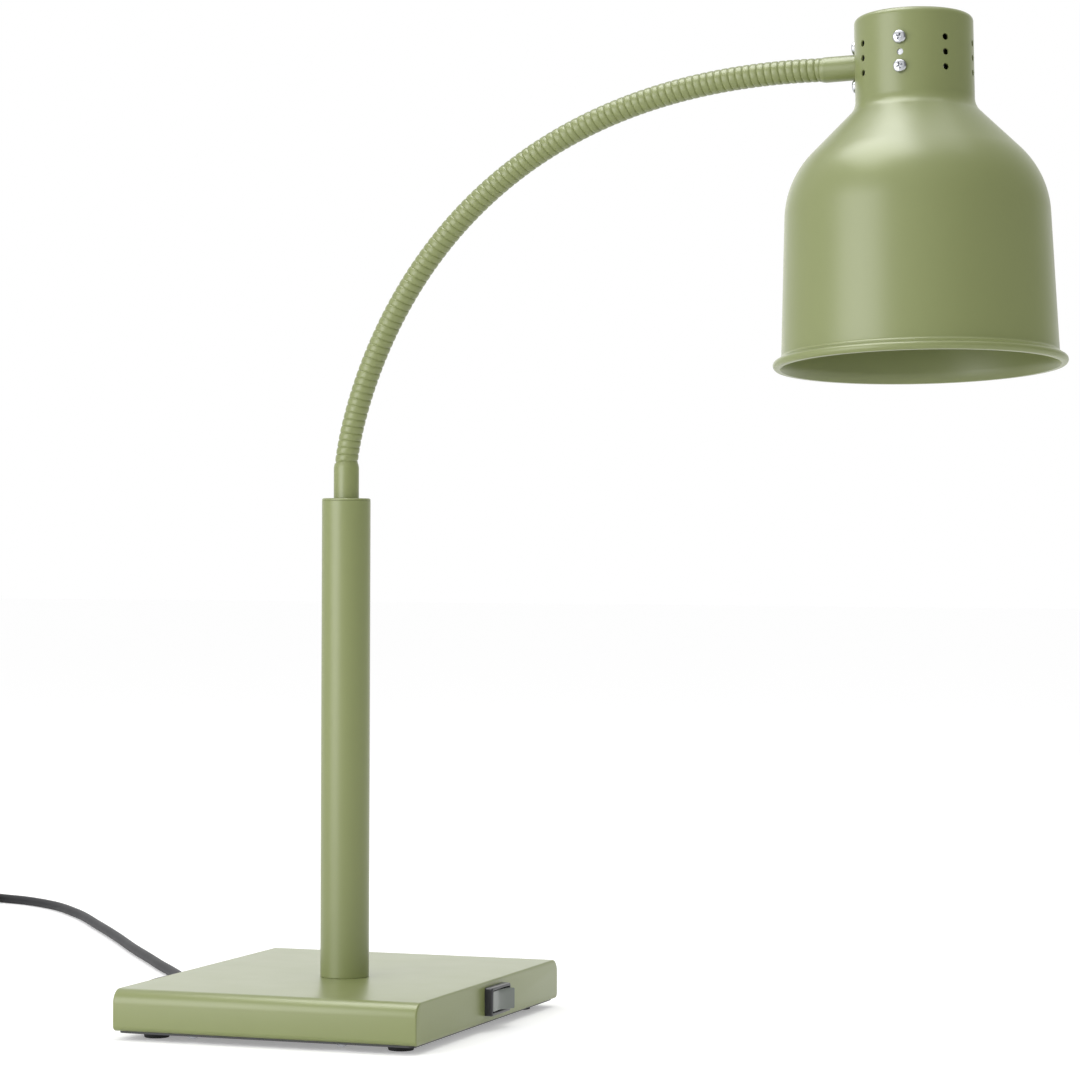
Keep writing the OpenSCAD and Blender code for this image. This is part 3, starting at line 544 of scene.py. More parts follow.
def make_cord():
    points = smooth_points(CORD_ROUTE, 4)
    points += [coil_point(i / 96) for i in range(96 * COIL_TURNS + 1)]
    points += smooth_points(TAIL_ROUTE, 4)
    curve = bpy.data.curves.new("mains_lead", "CURVE")
    curve.dimensions = "3D"
    spline = curve.splines.new("POLY")
    spline.points.add(len(points) - 1)
    for point, at in zip(spline.points, points):
        point.co = (to_base @ at).to_4d()
    curve.bevel_depth = CORD_R * mm
    curve.bevel_resolution = 6
    curve.use_fill_caps = True
    curve.materials.append(MATERIALS["cord_rubber"])
    lead = bpy.data.objects.new("mains_lead", curve)
    bpy.context.scene.collection.objects.link(lead)
    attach(lead, "base")
    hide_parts("mains_cord", "cord_coil", "cord_tail")
    return lead


# Strain relief: a flange against the base and a tapered boot with open ribs
def make_relief():
    tip = RELIEF_FLANGE + RELIEF_L
    points = [(0.01, -SHEET), (6, -SHEET), (6, 0), (9, 0), (9, 1.4), (8.6, 2.4), (7.8, RELIEF_FLANGE)]
    ribs = 7
    start = 4.2
    pitch = (tip - start) / ribs
    for i in range(ribs):
        z = start + pitch * i
        r0 = 6.2 - 1.5 * (z - 4) / (tip - 4)
        r1 = 6.2 - 1.5 * (z + pitch - 4) / (tip - 4)
        points += [(r0 - 1.1, z), (r0 - 0.25, z + 0.1), (r0, z + 0.45), (r1, z + pitch - 1.55)]
        points += [(r1 - 0.25, z + pitch - 1.2), (r1 - 1.1, z + pitch - 1.1)]
    points += [(4.35, tip - 0.4), (3.9, tip), (3.55, tip), (3.52, tip - 3), (0.01, tip - 3)]
    turn = Matrix.Rotation(-math.pi / 2, 4, "Y")
    place = to_base @ Matrix.Translation((-BASE_L / 2, RELIEF_Y, RELIEF_Z)) @ turn
    boot = piece_from(lathe(points, 64), "relief_boot", place, "soft_black", "base", 35)
    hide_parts("strain_relief")
    return boot


# Place of the plug, whose axis runs on from the cord's end
def plug_place():
    at = Vector(off_coil(7 + TAIL_L, PLUG_R))
    along = Vector((COIL_DIR[0], COIL_DIR[1], 0))
    side = Vector((0, 0, 1)).cross(along)
    frame_axes = Matrix((side, along.cross(side), along)).transposed().to_4x4()
    return to_base @ Matrix.Translation(at) @ frame_axes


# Plug body: a tapered grip with finger ribs and a round face
def make_plug():
    points = [(0.01, 0), (4.1, 0), (4.7, 0.5)]
    for i in range(5):
        z = 3 + 4.2 * i
        r = 4.7 + 2.8 * z / 24
        points += [(r, z), (r - 0.8, z + 0.3), (r - 0.7, z + 1.3), (r + 0.2, z + 1.6)]
    points += [(7.6, 24), (10.4, 26.2), (11, 27), (11.5, 30), (12, 34), (12.3, 39), (12.5, 44)]
    points += arc(PLUG_R - 5, 53, 5, -55, 0, 10)
    points += [(PLUG_R, PLUG_FACE - 1), (PLUG_R - 0.3, PLUG_FACE - 0.3)]
    points += [(PLUG_R - 1, PLUG_FACE), (0.01, PLUG_FACE)]
    body = piece_from(lathe(points, 96), "plug_grip", plug_place(), "soft_black", None, 35)
    cutters = []
    for s in (-1, 1):
        hole = drill(2.05, PLUG_FACE - 8.4, PLUG_FACE + 1, 32)
        cutters.append(cutter_from(hole, plug_place() @ Matrix.Translation((0, s * 9.5, 0))))
        slot = stack([(2.2, 7.2, 0.4, 53), (2.2, 7.2, 0.4, PLUG_FACE + 1)])
        cutters.append(cutter_from(slot, plug_place() @ Matrix.Translation((s * (PLUG_R - 0.6), 0, 0))))
    cut(body, cutters)
    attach(body, "base")
    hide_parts("plug_body")
    return body


# Band that holds the coil, a flat strap with rounded edges
def make_tie():
    half = COIL_STEP / 2 + CORD_R + 0.5
    low = 0.7
    high = COIL_TOP + CORD_R + 0.3
    inner_w = 2 * half
    inner_h = high - low
    bm = bmesh.new()
    rings = []
    profile = [
        (0.15, 0.5), (0, 0.9), (0, 8.1), (0.15, 8.5), (0.35, 8.6),
        (0.55, 8.5), (0.7, 8.1), (0.7, 0.9), (0.55, 0.5), (0.35, 0.4),
    ]
    for out, along in profile:
        outline = rounded_rect(inner_w + 2 * out, inner_h + 2 * out, 1.2 + out, 6)
        rings.append([bm.verts.new((x, (high + low) / 2 + y, along)) for x, y in outline])
    rings.append(rings[0])
    skin(bm, rings)
    about = Matrix.Rotation(COIL_START + math.pi, 4, "Z")
    place = to_base @ Matrix.Translation((COIL_MID[0], COIL_MID[1], 0)) @ about
    place = place @ Matrix.Translation((COIL_OUT - COIL_STEP, 4.5, 0)) @ Matrix.Rotation(math.pi / 2, 4, "X")
    band = piece_from(bm, "tie_band", place, "soft_black", "base", 50)
    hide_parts("cord_tie")
    return band


lead = make_cord()
relief_boot = make_relief()
plug_grip = make_plug()
tie_band = make_tie()


# Base cover: folded sheet with round front and back edges, open inside its rim flange
def shell_ring(w, h, rt, rb, n_top=14, n_low=6):
    points = []
    points += arc(w / 2 - rb, rb, rb, -90, 0, n_low)
    points += arc(w / 2 - rt, h - rt, rt, 0, 90, n_top)
    points += arc(-w / 2 + rt, h - rt, rt, 90, 180, n_top)
    points += arc(-w / 2 + rb, rb, rb, 180, 270, n_low)
    return points


def shell_solid(l, w, h, rt, rb, z, edge=0.0):
    bm = bmesh.new()
    rings = []
    steps = [0.0] if edge == 0 else [math.radians(a) for a in (0, 22.5, 45, 67.5, 90)]
    for side, turns in ((-1, steps), (1, steps[::-1])):
        for a in turns:
            inset = edge * (1 - math.sin(a))
            x = side * (l / 2 - edge * (1 - math.cos(a)))
            outline = shell_ring(w - 2 * inset, h - 2 * inset, max(rt - inset, 0.3), max(rb - inset, 0.3))
            rings.append([bm.verts.new((x, y, z + inset + v)) for y, v in outline])
    skin(bm, rings)
    bm.faces.new(rings[0])
    bm.faces.new(rings[-1])
    return bm


def make_base_cover():
    outside = shell_solid(BASE_L, BASE_W, BASE_H, TOP_EDGE_R, LOW_EDGE_R, SHELL_Z, 1.0)
    cover = piece_from(outside, "base_cover", to_base, "powder_coat", None, 30)
    t = SHEET
    inside = shell_solid(
        BASE_L - 2 * t, BASE_W - 2 * t, BASE_H - 2 * t, TOP_EDGE_R - t, LOW_EDGE_R - t, SHELL_Z + t
    )
    cutters = [cutter_from(inside, to_base)]
    open_l = BASE_L - 2 * RIM_FLANGE
    open_w = BASE_W - 2 * RIM_FLANGE
    opening = stack([(open_l, open_w, 6, SHELL_Z - 1), (open_l, open_w, 6, SHELL_Z + t + 1)])
    cutters.append(cutter_from(opening, to_base))
    stud = drill(STUD_HOLE_R, BASE_TOP - 3, BASE_TOP + 1)
    cutters.append(cutter_from(stud, to_base @ Matrix.Translation((POST_X, POST_Y, 0))))
    slot = stack([(SLOT_L + 2.2, SLOT_W + 2.8, 0.4, -3), (SLOT_L + 2.2, SLOT_W + 2.8, 0.4, 2)])
    cutters.append(cutter_from(slot, to_switch))
    hole = drill(RELIEF_HOLE_R, -3, 2)
    turn = Matrix.Rotation(-math.pi / 2, 4, "Y")
    cutters.append(cutter_from(hole, to_base @ Matrix.Translation((-BASE_L / 2, RELIEF_Y, RELIEF_Z)) @ turn))
    for x in (-PLATE_SCREW_X, PLATE_SCREW_X):
        for y in (-PLATE_SCREW_Y, PLATE_SCREW_Y):
            pin = drill(2, -1, 3, 24)
            cutters.append(cutter_from(pin, to_base @ Matrix.Translation((x, y, SHELL_Z))))
    cut(cover, cutters)
    cover.data.set_sharp_from_angle(angle=math.radians(30))
    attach(cover, "base")
    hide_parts("base_shell")


to_switch = (
    to_base
    @ Matrix.Translation((BASE_L / 2, SWITCH_Y, SWITCH_Z))
    @ Matrix(((0, 0, 1, 0), (1, 0, 0, 0), (0, 1, 0, 0), (0, 0, 0, 1)))
)


# Rocker switch: a snap-in body with a bevelled frame round its well
def make_switch():
    back = 17.5
    levels = [
        (SLOT_L + 1.8, SLOT_W + 2.4, 0.4, -back), (SLOT_L + 1.8, SLOT_W + 2.4, 0.4, 0.02),
        (SWITCH_L, SWITCH_W, 1.6, 0.02), (SWITCH_L, SWITCH_W, 1.6, SWITCH_PROUD - 0.9),
        (SWITCH_L - 0.3, SWITCH_W - 0.3, 1.5, SWITCH_PROUD - 0.4),
        (SWITCH_L - 0.9, SWITCH_W - 0.9, 1.3, SWITCH_PROUD - 0.08),
        (SWITCH_L - 1.3, SWITCH_W - 1.3, 1.2, SWITCH_PROUD),
        (SLOT_L + 0.9, SLOT_W + 0.9, 0.7, SWITCH_PROUD),
        (SLOT_L + 0.3, SLOT_W + 0.3, 0.5, SWITCH_PROUD - 0.2),
        (SLOT_L, SLOT_W, 0.4, SWITCH_PROUD - 0.7), (SLOT_L, SLOT_W, 0.4, -8),
    ]
    bezel = piece_from(stack(levels, 6), "switch_frame", to_switch, "black_plastic", "base", 30)
    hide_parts("switch_body")


# Rocker: two flat faces that meet over the pivot, with round ends
def make_rocker():
    rise = math.tan(ROCKER_TURN)
    reach = max(y / 10 for y in range(0, 160) if (5.2 + y / 10 * rise) ** 2 + (y / 10) ** 2 < ROCKER_R**2)
    edge_x = 5.2 + reach * rise
    low = -math.degrees(math.acos(-3 / ROCKER_R))
    top = -math.degrees(math.atan2(reach, edge_x))
    outline = arc(0, 0, ROCKER_R, low, top, 14) + [(5.2 + 6 * rise, -6), (5.2, 0), (5.2 + 6 * rise, 6)]
    outline += arc(0, 0, ROCKER_R, -top, -low, 14)
    half = (SLOT_W - 0.8) / 2
    bm = bmesh.new()
    rings = []
    layers = [
        (0.7, -half), (0.2, -half + 0.2), (0, -half + 0.7),
        (0, half - 0.7), (0.2, half - 0.2), (0.7, half),
    ]
    for inset, z in layers:
        ring = []
        for x, y in outline:
            d = Vector((x - 2, y)).normalized() * inset
            ring.append(bm.verts.new((x - d.x, y - d.y, z)))
        rings.append(ring)
    skin(bm, rings)
    bm.faces.new(rings[0])
    bm.faces.new(rings[-1])
    pivot = to_base @ Matrix.Translation((PIVOT_X, SWITCH_Y, SWITCH_Z))
    place = pivot @ Matrix.Rotation(-ROCKER_TURN, 4, "Z")
    rocker = piece_from(bm, "rocker_cap", place, "grey_green_plastic", "rocker", 30)
    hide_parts("switch_rocker")


# Feet, each a turned rubber pad with a recess for its screw
def make_feet():
    r = FOOT_D / 2
    points = [
        (4.2, 0), (r - 1.5, 0), (r - 1.0, 0.12), (r - 0.7, 0.5), (r - 0.1, FOOT_H - 0.5), (r - 0.25, FOOT_H),
        (2.1, FOOT_H), (2.1, 2.2), (3.9, 2.2), (4.2, 1.9),
    ]
    bm = bmesh.new()
    for x in (-FOOT_X, FOOT_X):
        for y in (-FOOT_Y, FOOT_Y):
            pad = lathe(points, 48, True)
            bmesh.ops.translate(pad, verts=pad.verts[:], vec=(x, y, 0))
            part = bpy.data.meshes.new("pad")
            pad.to_mesh(part)
            pad.free()
            bm.from_mesh(part)
            bpy.data.meshes.remove(part)
    feet = piece_from(bm, "foot_pads", to_base, "black_rubber", "base", 40)
    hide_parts("rubber_feet")


# Post with its turned cap, and the ferrule that the gooseneck leaves
def make_post():
    low = BASE_TOP
    high = POST_TOP - CAP_T - 0.06
    points = [(POST_BORE_R, low), (POST_R - 0.3, low), (POST_R, low + 0.3)]
    points += [(POST_R, high - 0.1), (POST_R - 0.1, high), (POST_BORE_R, high)]
    tube = piece_from(lathe(points, 128, True), "post_skin", to_post, "powder_coat", "base", 40)
    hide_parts("post_tube")
    top = POST_TOP
    points = [(5.1, high + 0.06), (POST_R - 0.12, high + 0.06), (POST_R, high + 0.18)]
    points += arc(POST_R - 1.1, top - 1.1, 1.1, 0, 90, 8) + [(5.1, top)]
    cap = piece_from(lathe(points, 128, True), "post_lid", to_post, "powder_coat", "base", 40)
    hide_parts("post_cap")
    r = LOW_FERRULE_R
    points = [(3.4, top - 13), (5, top - 13), (5, top + 0.02), (r - 0.15, top + 0.02), (r, top + 0.2)]
    points += [(r, FERRULE_TOP - 2.6), (r - 0.08, FERRULE_TOP - 2.2), (r - 0.45, FERRULE_TOP - 0.3)]
    points += [(r - 0.6, FERRULE_TOP), (SOCKET_R + 0.15, FERRULE_TOP), (SOCKET_R, FERRULE_TOP - 0.2)]
    points += [(SOCKET_R, FERRULE_TOP - 10), (3.4, FERRULE_TOP - 10)]
    sleeve = piece_from(lathe(points, 96, True), "low_sleeve", to_post, "powder_coat", "base", 35)
    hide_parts("lower_ferrule")


# Gooseneck: a rib wound round the path, laid out on helical rows that follow its groove
PATH = [(0, FERRULE_TOP), (0, FERRULE_TOP + 7.7), (ARM_END - 272, ARM_END_Z), (ARM_END, ARM_END_Z)]


def path_table(steps=1200):
    ctrl = [Vector(p) for p in PATH]
    rows = []
    s = 0.0
    last = None
    for i in range(steps + 1):
        t = i / steps
        u = 1 - t
        at = u**3 * ctrl[0] + 3 * u**2 * t * ctrl[1] + 3 * u * t * t * ctrl[2] + t**3 * ctrl[3]
        way = u**2 * (ctrl[1] - ctrl[0]) + 2 * u * t * (ctrl[2] - ctrl[1]) + t * t * (ctrl[3] - ctrl[2])
        if last:
            s += (at - last).length
        rows.append((s, at, math.atan2(way.y, way.x)))
        last = at
    return rows


PATH_ROWS = path_table()
PATH_LEN = PATH_ROWS[-1][0]


# Point on the path and its slope, by the length from the ferrule's mouth
def on_path(s):
    if s <= 0:
        return Vector((0, FERRULE_TOP + s)), math.pi / 2
    if s >= PATH_LEN:
        more = s - PATH_LEN
        return PATH_ROWS[-1][1] + more * Vector((math.cos(HEAD_PITCH), math.sin(HEAD_PITCH))), HEAD_PITCH
    low = 0
    high = len(PATH_ROWS) - 1
    while high - low > 1:
        mid = (low + high) // 2
        if PATH_ROWS[mid][0] > s:
            high = mid
        else:
            low = mid
    s0, p0, a0 = PATH_ROWS[low]
    s1, p1, a1 = PATH_ROWS[high]
    f = (s - s0) / (s1 - s0)
    return p0.lerp(p1, f), a0 + (a1 - a0) * f


RIB_PLACES = [0, 0.03, 0.08, 0.16, 0.27, 0.39, 0.5, 0.61, 0.73, 0.84, 0.92, 0.97]
RIB_COLUMNS = 48


def rib_point(row, column):
    whole, part = divmod(row, len(RIB_PLACES))
    u = RIB_PLACES[part]
    b = 2 * math.pi * column / RIB_COLUMNS
    s = RIB_PITCH * (whole + u + column / RIB_COLUMNS)
    r = NECK_R - GROOVE * (2 * u - 1) ** 4
    if s < -0.3 or s > PATH_LEN + 0.3:
        r = min(r, SOCKET_R - 0.2)
    at, a = on_path(s)
    c = r * math.cos(b)
    return (at.x - c * math.sin(a), -r * math.sin(b), at.y + c * math.cos(a))


def neck_piece(name, s_from, s_to):
    per = len(RIB_PLACES)
    first = math.floor(s_from / RIB_PITCH) * per
    last = math.floor(s_to / RIB_PITCH) * per
    bm = bmesh.new()
    made = {}

    def vert(row, column):
        if column == RIB_COLUMNS:
            row += per
            column = 0
        if (row, column) not in made:
            made[row, column] = bm.verts.new(rib_point(row, column))
        return made[row, column]

    for row in range(first, last):
        for j in range(RIB_COLUMNS):
            bm.faces.new([vert(row, j), vert(row, j + 1), vert(row + 1, j + 1), vert(row + 1, j)])
    return piece_from(bm, name, to_post, "powder_coat", None, 80)


# The skin runs into both ferrules, and each middle stretch of it runs across a joint, from the middle of one
# segment to the middle of the next, and is left without a body
def make_gooseneck():
    step = PATH_LEN / SEGMENTS
    marks = [-TUCK_LOW] + [step * (k + 0.5) for k in range(SEGMENTS)] + [PATH_LEN + TUCK_HIGH]
    for k in range(SEGMENTS + 1):
        piece = neck_piece(f"neck_skin_{k}", marks[k], marks[k + 1])
        if k == 0:
            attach(piece, "base")
            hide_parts("gooseneck_0")
        elif k == SEGMENTS:
            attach(piece, "head")
            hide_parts("gooseneck_8")
        else:
            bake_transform(piece)
            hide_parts(f"gooseneck_{k}")


# Head
ALONG_ARM = Matrix.Rotation(math.pi / 2, 4, "Y")


def make_arm_sleeve():
    r = TOP_FERRULE_R
    points = [(SOCKET_R, -44), (SOCKET_R, -55.8), (SOCKET_R + 0.15, -SLEEVE_MOUTH)]
    points += [(r - 0.55, -SLEEVE_MOUTH), (r - 0.4, -55.8)]
    points += [(r - 0.02, -53.6), (r, -53.2), (r, -32.7), (r - 0.2, -32.5)]
    points += [(6, -32.5), (6, -23.5), (3.4, -23.5), (3.4, -44)]
    sleeve = piece_from(lathe(points, 96, True), "arm_sleeve", to_head @ ALONG_ARM, "powder_coat", "head", 35)
    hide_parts("upper_ferrule")


# A pan-head screw with a cross recess, its head's underside at height 0
def screw(bm, head_r, head_h, shank_r, length, place):
    h = head_h
    points = [(0.001, -length), (shank_r - 0.3, -length), (shank_r, -length + 0.4), (shank_r, 0), (head_r, 0)]
    points += [(head_r, h * 0.2)] + arc(head_r - h * 0.62, h * 0.3, h * 0.62, 8, 72, 8)
    points += [(head_r * 0.35, h * 0.97), (0.001, h)]
    body = lathe(points, 48)
    bmesh.ops.recalc_face_normals(body, faces=body.faces[:])
    mesh = bpy.data.meshes.new("screw")
    body.to_mesh(mesh)
    body.free()
    obj = bpy.data.objects.new("screw", mesh)
    bpy.context.scene.collection.objects.link(obj)
    cutters = []
    for turn in (0, math.pi / 2):
        w = head_r * 0.98
        levels = [(w * 0.45, 0.5, 0.1, h * 0.35), (w, 0.85, 0.2, h * 0.8), (w * 1.08, 1.0, 0.2, h + 0.5)]
        cutters.append(cutter_from(stack(levels, 2), Matrix.Rotation(turn, 4, "Z")))
    cut(obj, cutters)
    obj.data.transform(place)
    bm.from_mesh(obj.data)
    bpy.data.objects.remove(obj)


def make_head_screws():
    bm = bmesh.new()
    for i, z in enumerate((-ARM_SCREW_Z, ARM_SCREW_Z)):
        turn = Matrix.Rotation(-math.pi / 2, 4, "Y") @ Matrix.Rotation(0.5 + 0.7 * i, 4, "Z")
        screw(bm, SCREW_R, SCREW_H, 1.95, 9, Matrix.Translation((-SHADE_NECK_R, 0, z)) @ turn)
    arm = piece_from(bm, "arm_screw_heads", to_head, "chrome_screw", "head", 35)
    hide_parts("arm_screws")
    bm = bmesh.new()
    places = [(side, z) for side in (-1, 1) for z in (-SIDE_SCREW_Z, SIDE_SCREW_Z)]
    for i, (side, z) in enumerate(places):
        outwards = Matrix.Rotation(side * math.pi / 2, 4, "Z") @ ALONG_ARM
        turn = outwards @ Matrix.Rotation(0.35 + 0.8 * i, 4, "Z")
        screw(bm, SCREW_R, SCREW_H, 1.95, 7, Matrix.Translation((0, side * SHADE_NECK_R, z)) @ turn)
    sides = piece_from(bm, "bracket_screw_heads", to_head, "chrome_screw", "head", 35)
    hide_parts("holder_bracket_screws")


# Outline of the shade from the top's middle to the bell's foot; off moves it inwards
FLARE = math.atan((BELL_LOW_R - BELL_TOP_R) / 76)
COVE_MID = (SHADE_NECK_R + COVE_R, LINE_SUM - SHADE_NECK_R + COVE_R * (math.sqrt(2) - 1))


def shade_outline(off):
    turn = math.cos(FLARE) + math.sin(FLARE) - math.sqrt(2)
    start = (BELL_TOP_R - off, LINE_SUM - BELL_TOP_R + SHOULDER_R * turn)
    mid = (BELL_TOP_R - SHOULDER_R * math.cos(FLARE), start[1] - SHOULDER_R * math.sin(FLARE))
    r = 3.5
    points = [(0, TOP_Z - off), (12, TOP_Z - off), (24, TOP_Z - off)]
    points += arc(SHADE_NECK_R - r, TOP_Z - r, r - off, 90, 0, 8)
    neck_low = COVE_MID[1]
    rows = 26
    high = TOP_Z - r
    points += [(SHADE_NECK_R - off, high + (neck_low - high) * i / rows) for i in range(1, rows)]
    points += arc(COVE_MID[0], COVE_MID[1], COVE_R + off, 180, 225, 12)
    shoulder = arc(mid[0], mid[1], SHOULDER_R - off, 45, math.degrees(FLARE), 30)
    a = Vector(points[-1])
    b = Vector(shoulder[0])
    points += [tuple(a.lerp(b, i / 5)) for i in range(1, 5)]
    return points + shoulder


def shade_profile():
    outer = shade_outline(0)
    foot = arc(BELL_LOW_R + 2.4, RIM_Z + 8.4, 2.2, 180, 250, 8)
    a = Vector(outer[-1])
    b = Vector(foot[0])
    outer += [tuple(a.lerp(b, i / 6)) for i in range(1, 6)] + foot
    outer += arc(LIP_MID, RIM_Z + LIP_R, LIP_R, 75, -60, 18)
    inner = shade_outline(SHADE_T)
    a = Vector(inner[-1])
    b = Vector((BELL_LOW_R - SHADE_T, RIM_Z + 7))
    inner += [tuple(a.lerp(b, i / 6)) for i in range(1, 7)]
    inner += [(BELL_LOW_R - 0.6, RIM_Z + 4.4), (BELL_LOW_R + 0.2, RIM_Z + 2), (BELL_LOW_R + 1, RIM_Z + 0.3)]
    return outer + inner[::-1]


# Round cutters through the neck's wall, each given as (turn about Z, height, radius)
def neck_holes(holes):
    bm = bmesh.new()
    for turn, z, r in holes:
        pin = drill(r, 25, 45, 40)
        part = bpy.data.meshes.new("pin")
        pin.to_mesh(part)
        pin.free()
        turned = Matrix.Rotation(math.radians(turn), 4, "Z")
        part.transform(turned @ Matrix.Translation((0, 0, z)) @ ALONG_ARM)
        bm.from_mesh(part)
        bpy.data.meshes.remove(part)
    return bm


# The neck is a true cylinder, so its normals are set from its axis and stay clean round the holes
def clean_neck_normals(obj):
    back = to_head.inverted()
    mesh = obj.data
    mesh.update()
    normals = [Vector(n.vector) for n in mesh.corner_normals]
    axes = to_head.to_3x3().normalized()
    for face in mesh.polygons:
        middle = back @ face.center
        if middle.z < COVE_MID[1] or middle.z > TOP_Z - 3.6:
            continue
        away = Vector((middle.x, middle.y, 0))
        side = 1 if face.normal.dot(axes @ away) > 0 else -1
        if abs(face.normal.dot(axes @ away.normalized())) < 0.9:
            continue
        for i in face.loop_indices:
            at = back @ mesh.vertices[mesh.loops[i].vertex_index].co
            normals[i] = side * (axes @ Vector((at.x, at.y, 0)).normalized())
    mesh.normals_split_custom_set(normals)


def make_shade():
    shade = piece_from(lathe(shade_profile(), 256), "shade_bell", to_head, "powder_coat", None, 40)
    holes = [(180, 0, TOP_FERRULE_R + 0.2)]
    holes += [(180, s * ARM_SCREW_Z, 2.1) for s in (-1, 1)]
    holes += [(turn, i * VENT_STEP, VENT_R) for turn in (-135, -45, 0, 45, 135) for i in (-1, 0, 1)]
    for turn in (-90, 90):
        holes += [(turn, 0, VENT_R)] + [(turn, s * SIDE_SCREW_Z, 2.1) for s in (-1, 1)]
    cut(shade, [cutter_from(neck_holes(holes), to_head)])
    shade.data.set_sharp_from_angle(angle=math.radians(40))
    clean_neck_normals(shade)
    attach(shade, "head")
    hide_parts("shade")


# Bulb: a mirrored parabola of revolution and a domed front glass with a rolled edge
def bulb_wall(off, n=28):
    start = CAP_END - 5.5
    k = (BULB_R * BULB_R - BULB_NECK_R * BULB_NECK_R) / (start - BULB_RIM_Z)
    points = []
    for i in range(n + 1):
        u = i / n
        z = start + (BULB_RIM_Z - start) * u * u
        lift = 0 if i == 0 else off * (1 - u) * 0.6
        points.append((math.sqrt(BULB_NECK_R * BULB_NECK_R + k * (start - z)) - off, z + lift))
    return points


def make_bulb():
    t = 1.8
    seam = BULB_RIM_Z - 2.9
    points = [(BULB_NECK_R, CAP_END)] + bulb_wall(0) + [(BULB_R, seam), (BULB_R - t, seam)]
    points += bulb_wall(t)[::-1] + [(BULB_NECK_R - t, CAP_END)]
    back = piece_from(lathe(points, 128, True), "bulb_back", to_head, "mirror_glass", "head", 40)
    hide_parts("bulb_reflector")
    top = BULB_RIM_Z - 3
    drop = top - 3 - BULB_FACE_Z
    dome_r = (BULB_R**2 + drop**2) / (2 * drop)
    half = math.degrees(math.asin((BULB_R - 1.2) / dome_r))
    inner_r = dome_r - 2.4
    inner_half = math.degrees(math.asin((BULB_R - 2.4) / inner_r))
    mid = BULB_FACE_Z + dome_r
    edge = arc(0, mid, dome_r, -90 + half, -90, 24)
    edge_z = edge[0][1]
    points = [(BULB_R - 0.3, top), (BULB_R, top - 0.4), (BULB_R, edge_z + 1.3), (BULB_R - 0.3, edge_z + 0.4)]
    points += edge + arc(0, mid, inner_r, -90, -90 + inner_half, 24) + [(BULB_R - 2.4, top)]
    front = piece_from(lathe(points, 128, True), "bulb_front", to_head, "frosted_glass", "head", 40)
    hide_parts("bulb_lens")


make_base_cover()
make_switch()
make_rocker()
make_feet()
make_post()
make_gooseneck()
make_arm_sleeve()
make_head_screws()
make_shade()
make_bulb()

for entry in frame["record"]["subparts"]:
    node = frame["nodes"][entry["node"]]
    node.data.materials.clear()
    node.data.materials.append(MATERIALS[entry["material_slot"]])


# White surroundings for camera and glass rays, the same for mirror rays but dimmer on the
# right, as a dark card there would make them, and a softer level for diffuse light
def make_world():
    world = bpy.data.worlds.new("studio")
    world.use_nodes = True
    nodes = world.node_tree.nodes
    links = world.node_tree.links
    nodes.clear()
    path = nodes.new("ShaderNodeLightPath")
    where = nodes.new("ShaderNodeTexCoord")
    axes = nodes.new("ShaderNodeSeparateXYZ")
    links.new(where.outputs["Generated"], axes.inputs[0])
    side = nodes.new("ShaderNodeMapRange")
    side.inputs["From Min"].default_value = 0.15
    side.inputs["From Max"].default_value = 0.75
    side.inputs["To Min"].default_value = 1.0
    side.inputs["To Max"].default_value = DARK_SIDE
    links.new(axes.outputs["X"], side.inputs["Value"])
    mirrored = nodes.new("ShaderNodeMath")
    mirrored.operation = "MULTIPLY"
    links.new(path.outputs["Is Glossy Ray"], mirrored.inputs[0])
    links.new(side.outputs["Result"], mirrored.inputs[1])
    seen = nodes.new("ShaderNodeMath")
    seen.operation = "MAXIMUM"
    clear = nodes.new("ShaderNodeMath")
    clear.operation = "MAXIMUM"
    links.new(path.outputs["Is Camera Ray"], seen.inputs[0])
    links.new(mirrored.outputs[0], seen.inputs[1])
    links.new(seen.outputs[0], clear.inputs[0])
    links.new(path.outputs["Is Transmission Ray"], clear.inputs[1])
    white = nodes.new("ShaderNodeBackground")
    white.inputs["Color"].default_value = (1, 1, 1, 1)
    white.inputs["Strength"].default_value = 1.0
    soft = nodes.new("ShaderNodeBackground")
    soft.inputs["Color"].default_value = (1, 1, 1, 1)
    level = nodes.new("ShaderNodeMath")
    level.operation = "MULTIPLY"
    level.inputs[1].default_value = WORLD_LIGHT
    unlit = nodes.new("ShaderNodeMath")
    unlit.operation = "SUBTRACT"
    unlit.inputs[0].default_value = 1.0
    links.new(path.outputs["Is Glossy Ray"], unlit.inputs[1])
    links.new(unlit.outputs[0], level.inputs[0])
    links.new(level.outputs[0], soft.inputs["Strength"])
    mix = nodes.new("ShaderNodeMixShader")
    links.new(clear.outputs[0], mix.inputs["Fac"])
    links.new(soft.outputs[0], mix.inputs[1])
    links.new(white.outputs[0], mix.inputs[2])
    out = nodes.new("ShaderNodeOutputWorld")
    links.new(mix.outputs[0], out.inputs["Surface"])
    bpy.context.scene.world = world


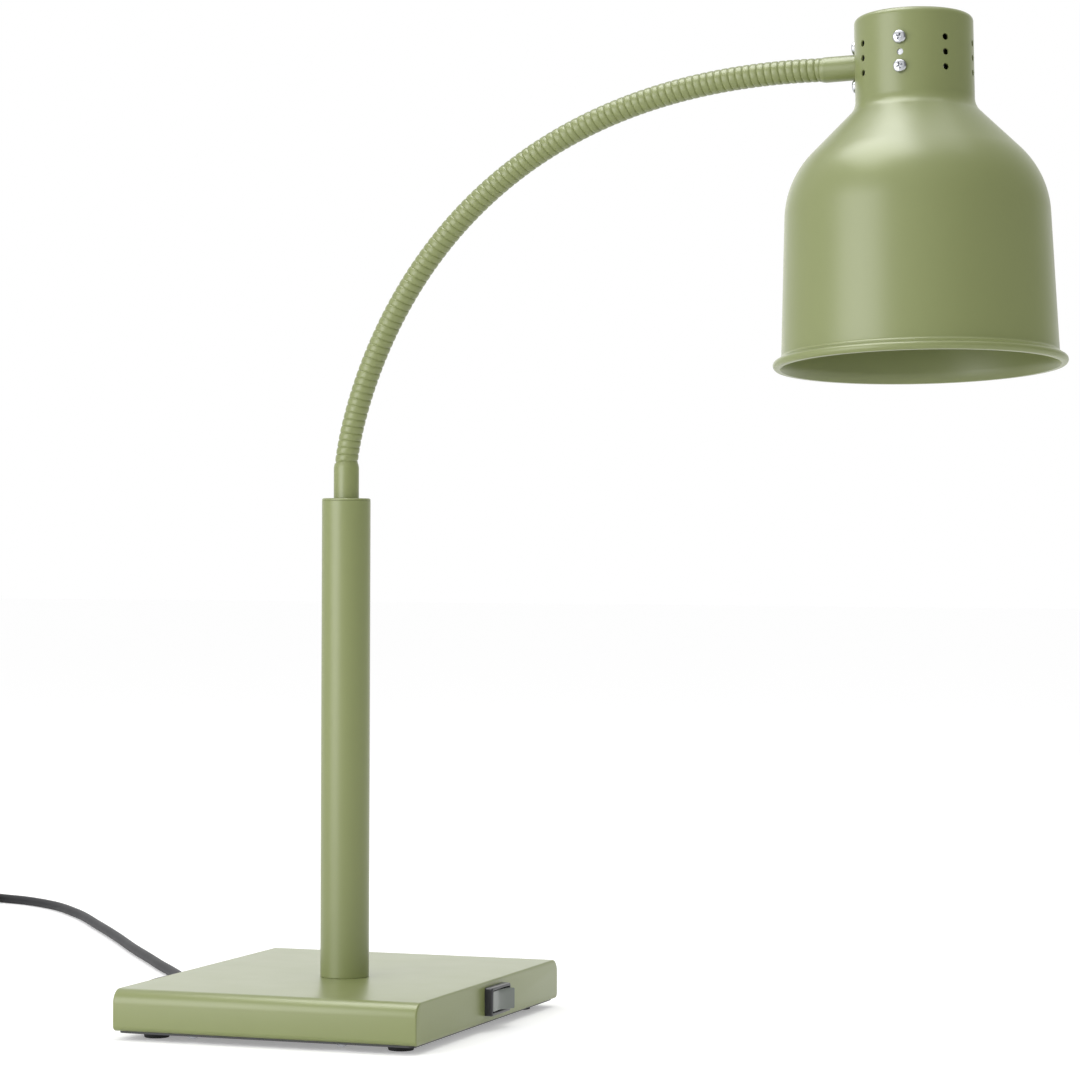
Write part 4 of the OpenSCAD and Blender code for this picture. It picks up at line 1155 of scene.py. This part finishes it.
# Floor that keeps the shadow; a faint glow for camera, mirror and glass rays lifts it to white
def make_floor():
    s = Shader("floor_white")
    s.nodes.remove(s.principled)
    paint = s.add("ShaderNodeBsdfDiffuse")
    paint.inputs["Color"].default_value = (0.86, 0.86, 0.86, 1)
    glow = s.add("ShaderNodeEmission")
    glow.inputs["Strength"].default_value = FLOOR_GLOW
    dark = s.add("ShaderNodeEmission")
    dark.inputs["Strength"].default_value = 0
    path = s.add("ShaderNodeLightPath")
    seen = s.add("ShaderNodeMath", operation="MAXIMUM")
    clear = s.add("ShaderNodeMath", operation="MAXIMUM")
    s.links.new(path.outputs["Is Camera Ray"], seen.inputs[0])
    s.links.new(path.outputs["Is Glossy Ray"], seen.inputs[1])
    s.links.new(seen.outputs[0], clear.inputs[0])
    s.links.new(path.outputs["Is Transmission Ray"], clear.inputs[1])
    pick = s.add("ShaderNodeMixShader")
    s.links.new(clear.outputs[0], pick.inputs["Fac"])
    s.links.new(dark.outputs[0], pick.inputs[1])
    s.links.new(glow.outputs[0], pick.inputs[2])
    both = s.add("ShaderNodeAddShader")
    s.links.new(paint.outputs[0], both.inputs[0])
    s.links.new(pick.outputs[0], both.inputs[1])
    out = next(n for n in s.nodes if n.type == "OUTPUT_MATERIAL")
    s.links.new(both.outputs[0], out.inputs["Surface"])
    mesh = bpy.data.meshes.new("floor")
    reach = 14
    corners = [(-reach, -reach, 0), (reach, -reach, 0), (reach, reach, 0), (-reach, reach, 0)]
    mesh.from_pydata(corners, [], [(0, 1, 2, 3)])
    mesh.materials.append(s.material)
    floor = bpy.data.objects.new("floor", mesh)
    bpy.context.scene.collection.objects.link(floor)


# A rectangular soft light that looks at a point
def softbox(name, at, target, width, height, power, diffuse=True):
    data = bpy.data.lights.new(name, "AREA")
    data.shape = "RECTANGLE"
    data.size = width
    data.size_y = height
    data.energy = power
    lamp = bpy.data.objects.new(name, data)
    bpy.context.scene.collection.objects.link(lamp)
    way = Vector(target) - Vector(at)
    lamp.matrix_world = Matrix.Translation(at) @ way.to_track_quat("-Z", "Y").to_matrix().to_4x4()
    lamp.visible_camera = False
    lamp.visible_diffuse = diffuse


WORLD_LIGHT = 0.8
DARK_SIDE = 0.25
FLOOR_GLOW = 0.3
make_world()
make_floor()
softbox("key", (-1.05, -1.62, 0.62), (0, 0, 0.32), 1.4, 1.5, 21)
softbox("key_sheen", (-1.05, -1.62, 0.62), (0, 0, 0.32), 1.4, 1.5, 26, diffuse=False)
softbox("overhead", (0.1, 0.1, 2.2), (0, 0, 0), 1.6, 1.6, 12)
softbox("overhead_sheen", (-0.45, -0.2, 2.1), (0.1, 0, 0.4), 1.4, 1.2, 34, diffuse=False)
softbox("back_sheen", (-1.3, 3.2, 1.1), (0, 0, 0.1), 2.6, 1.6, 7, diffuse=False)
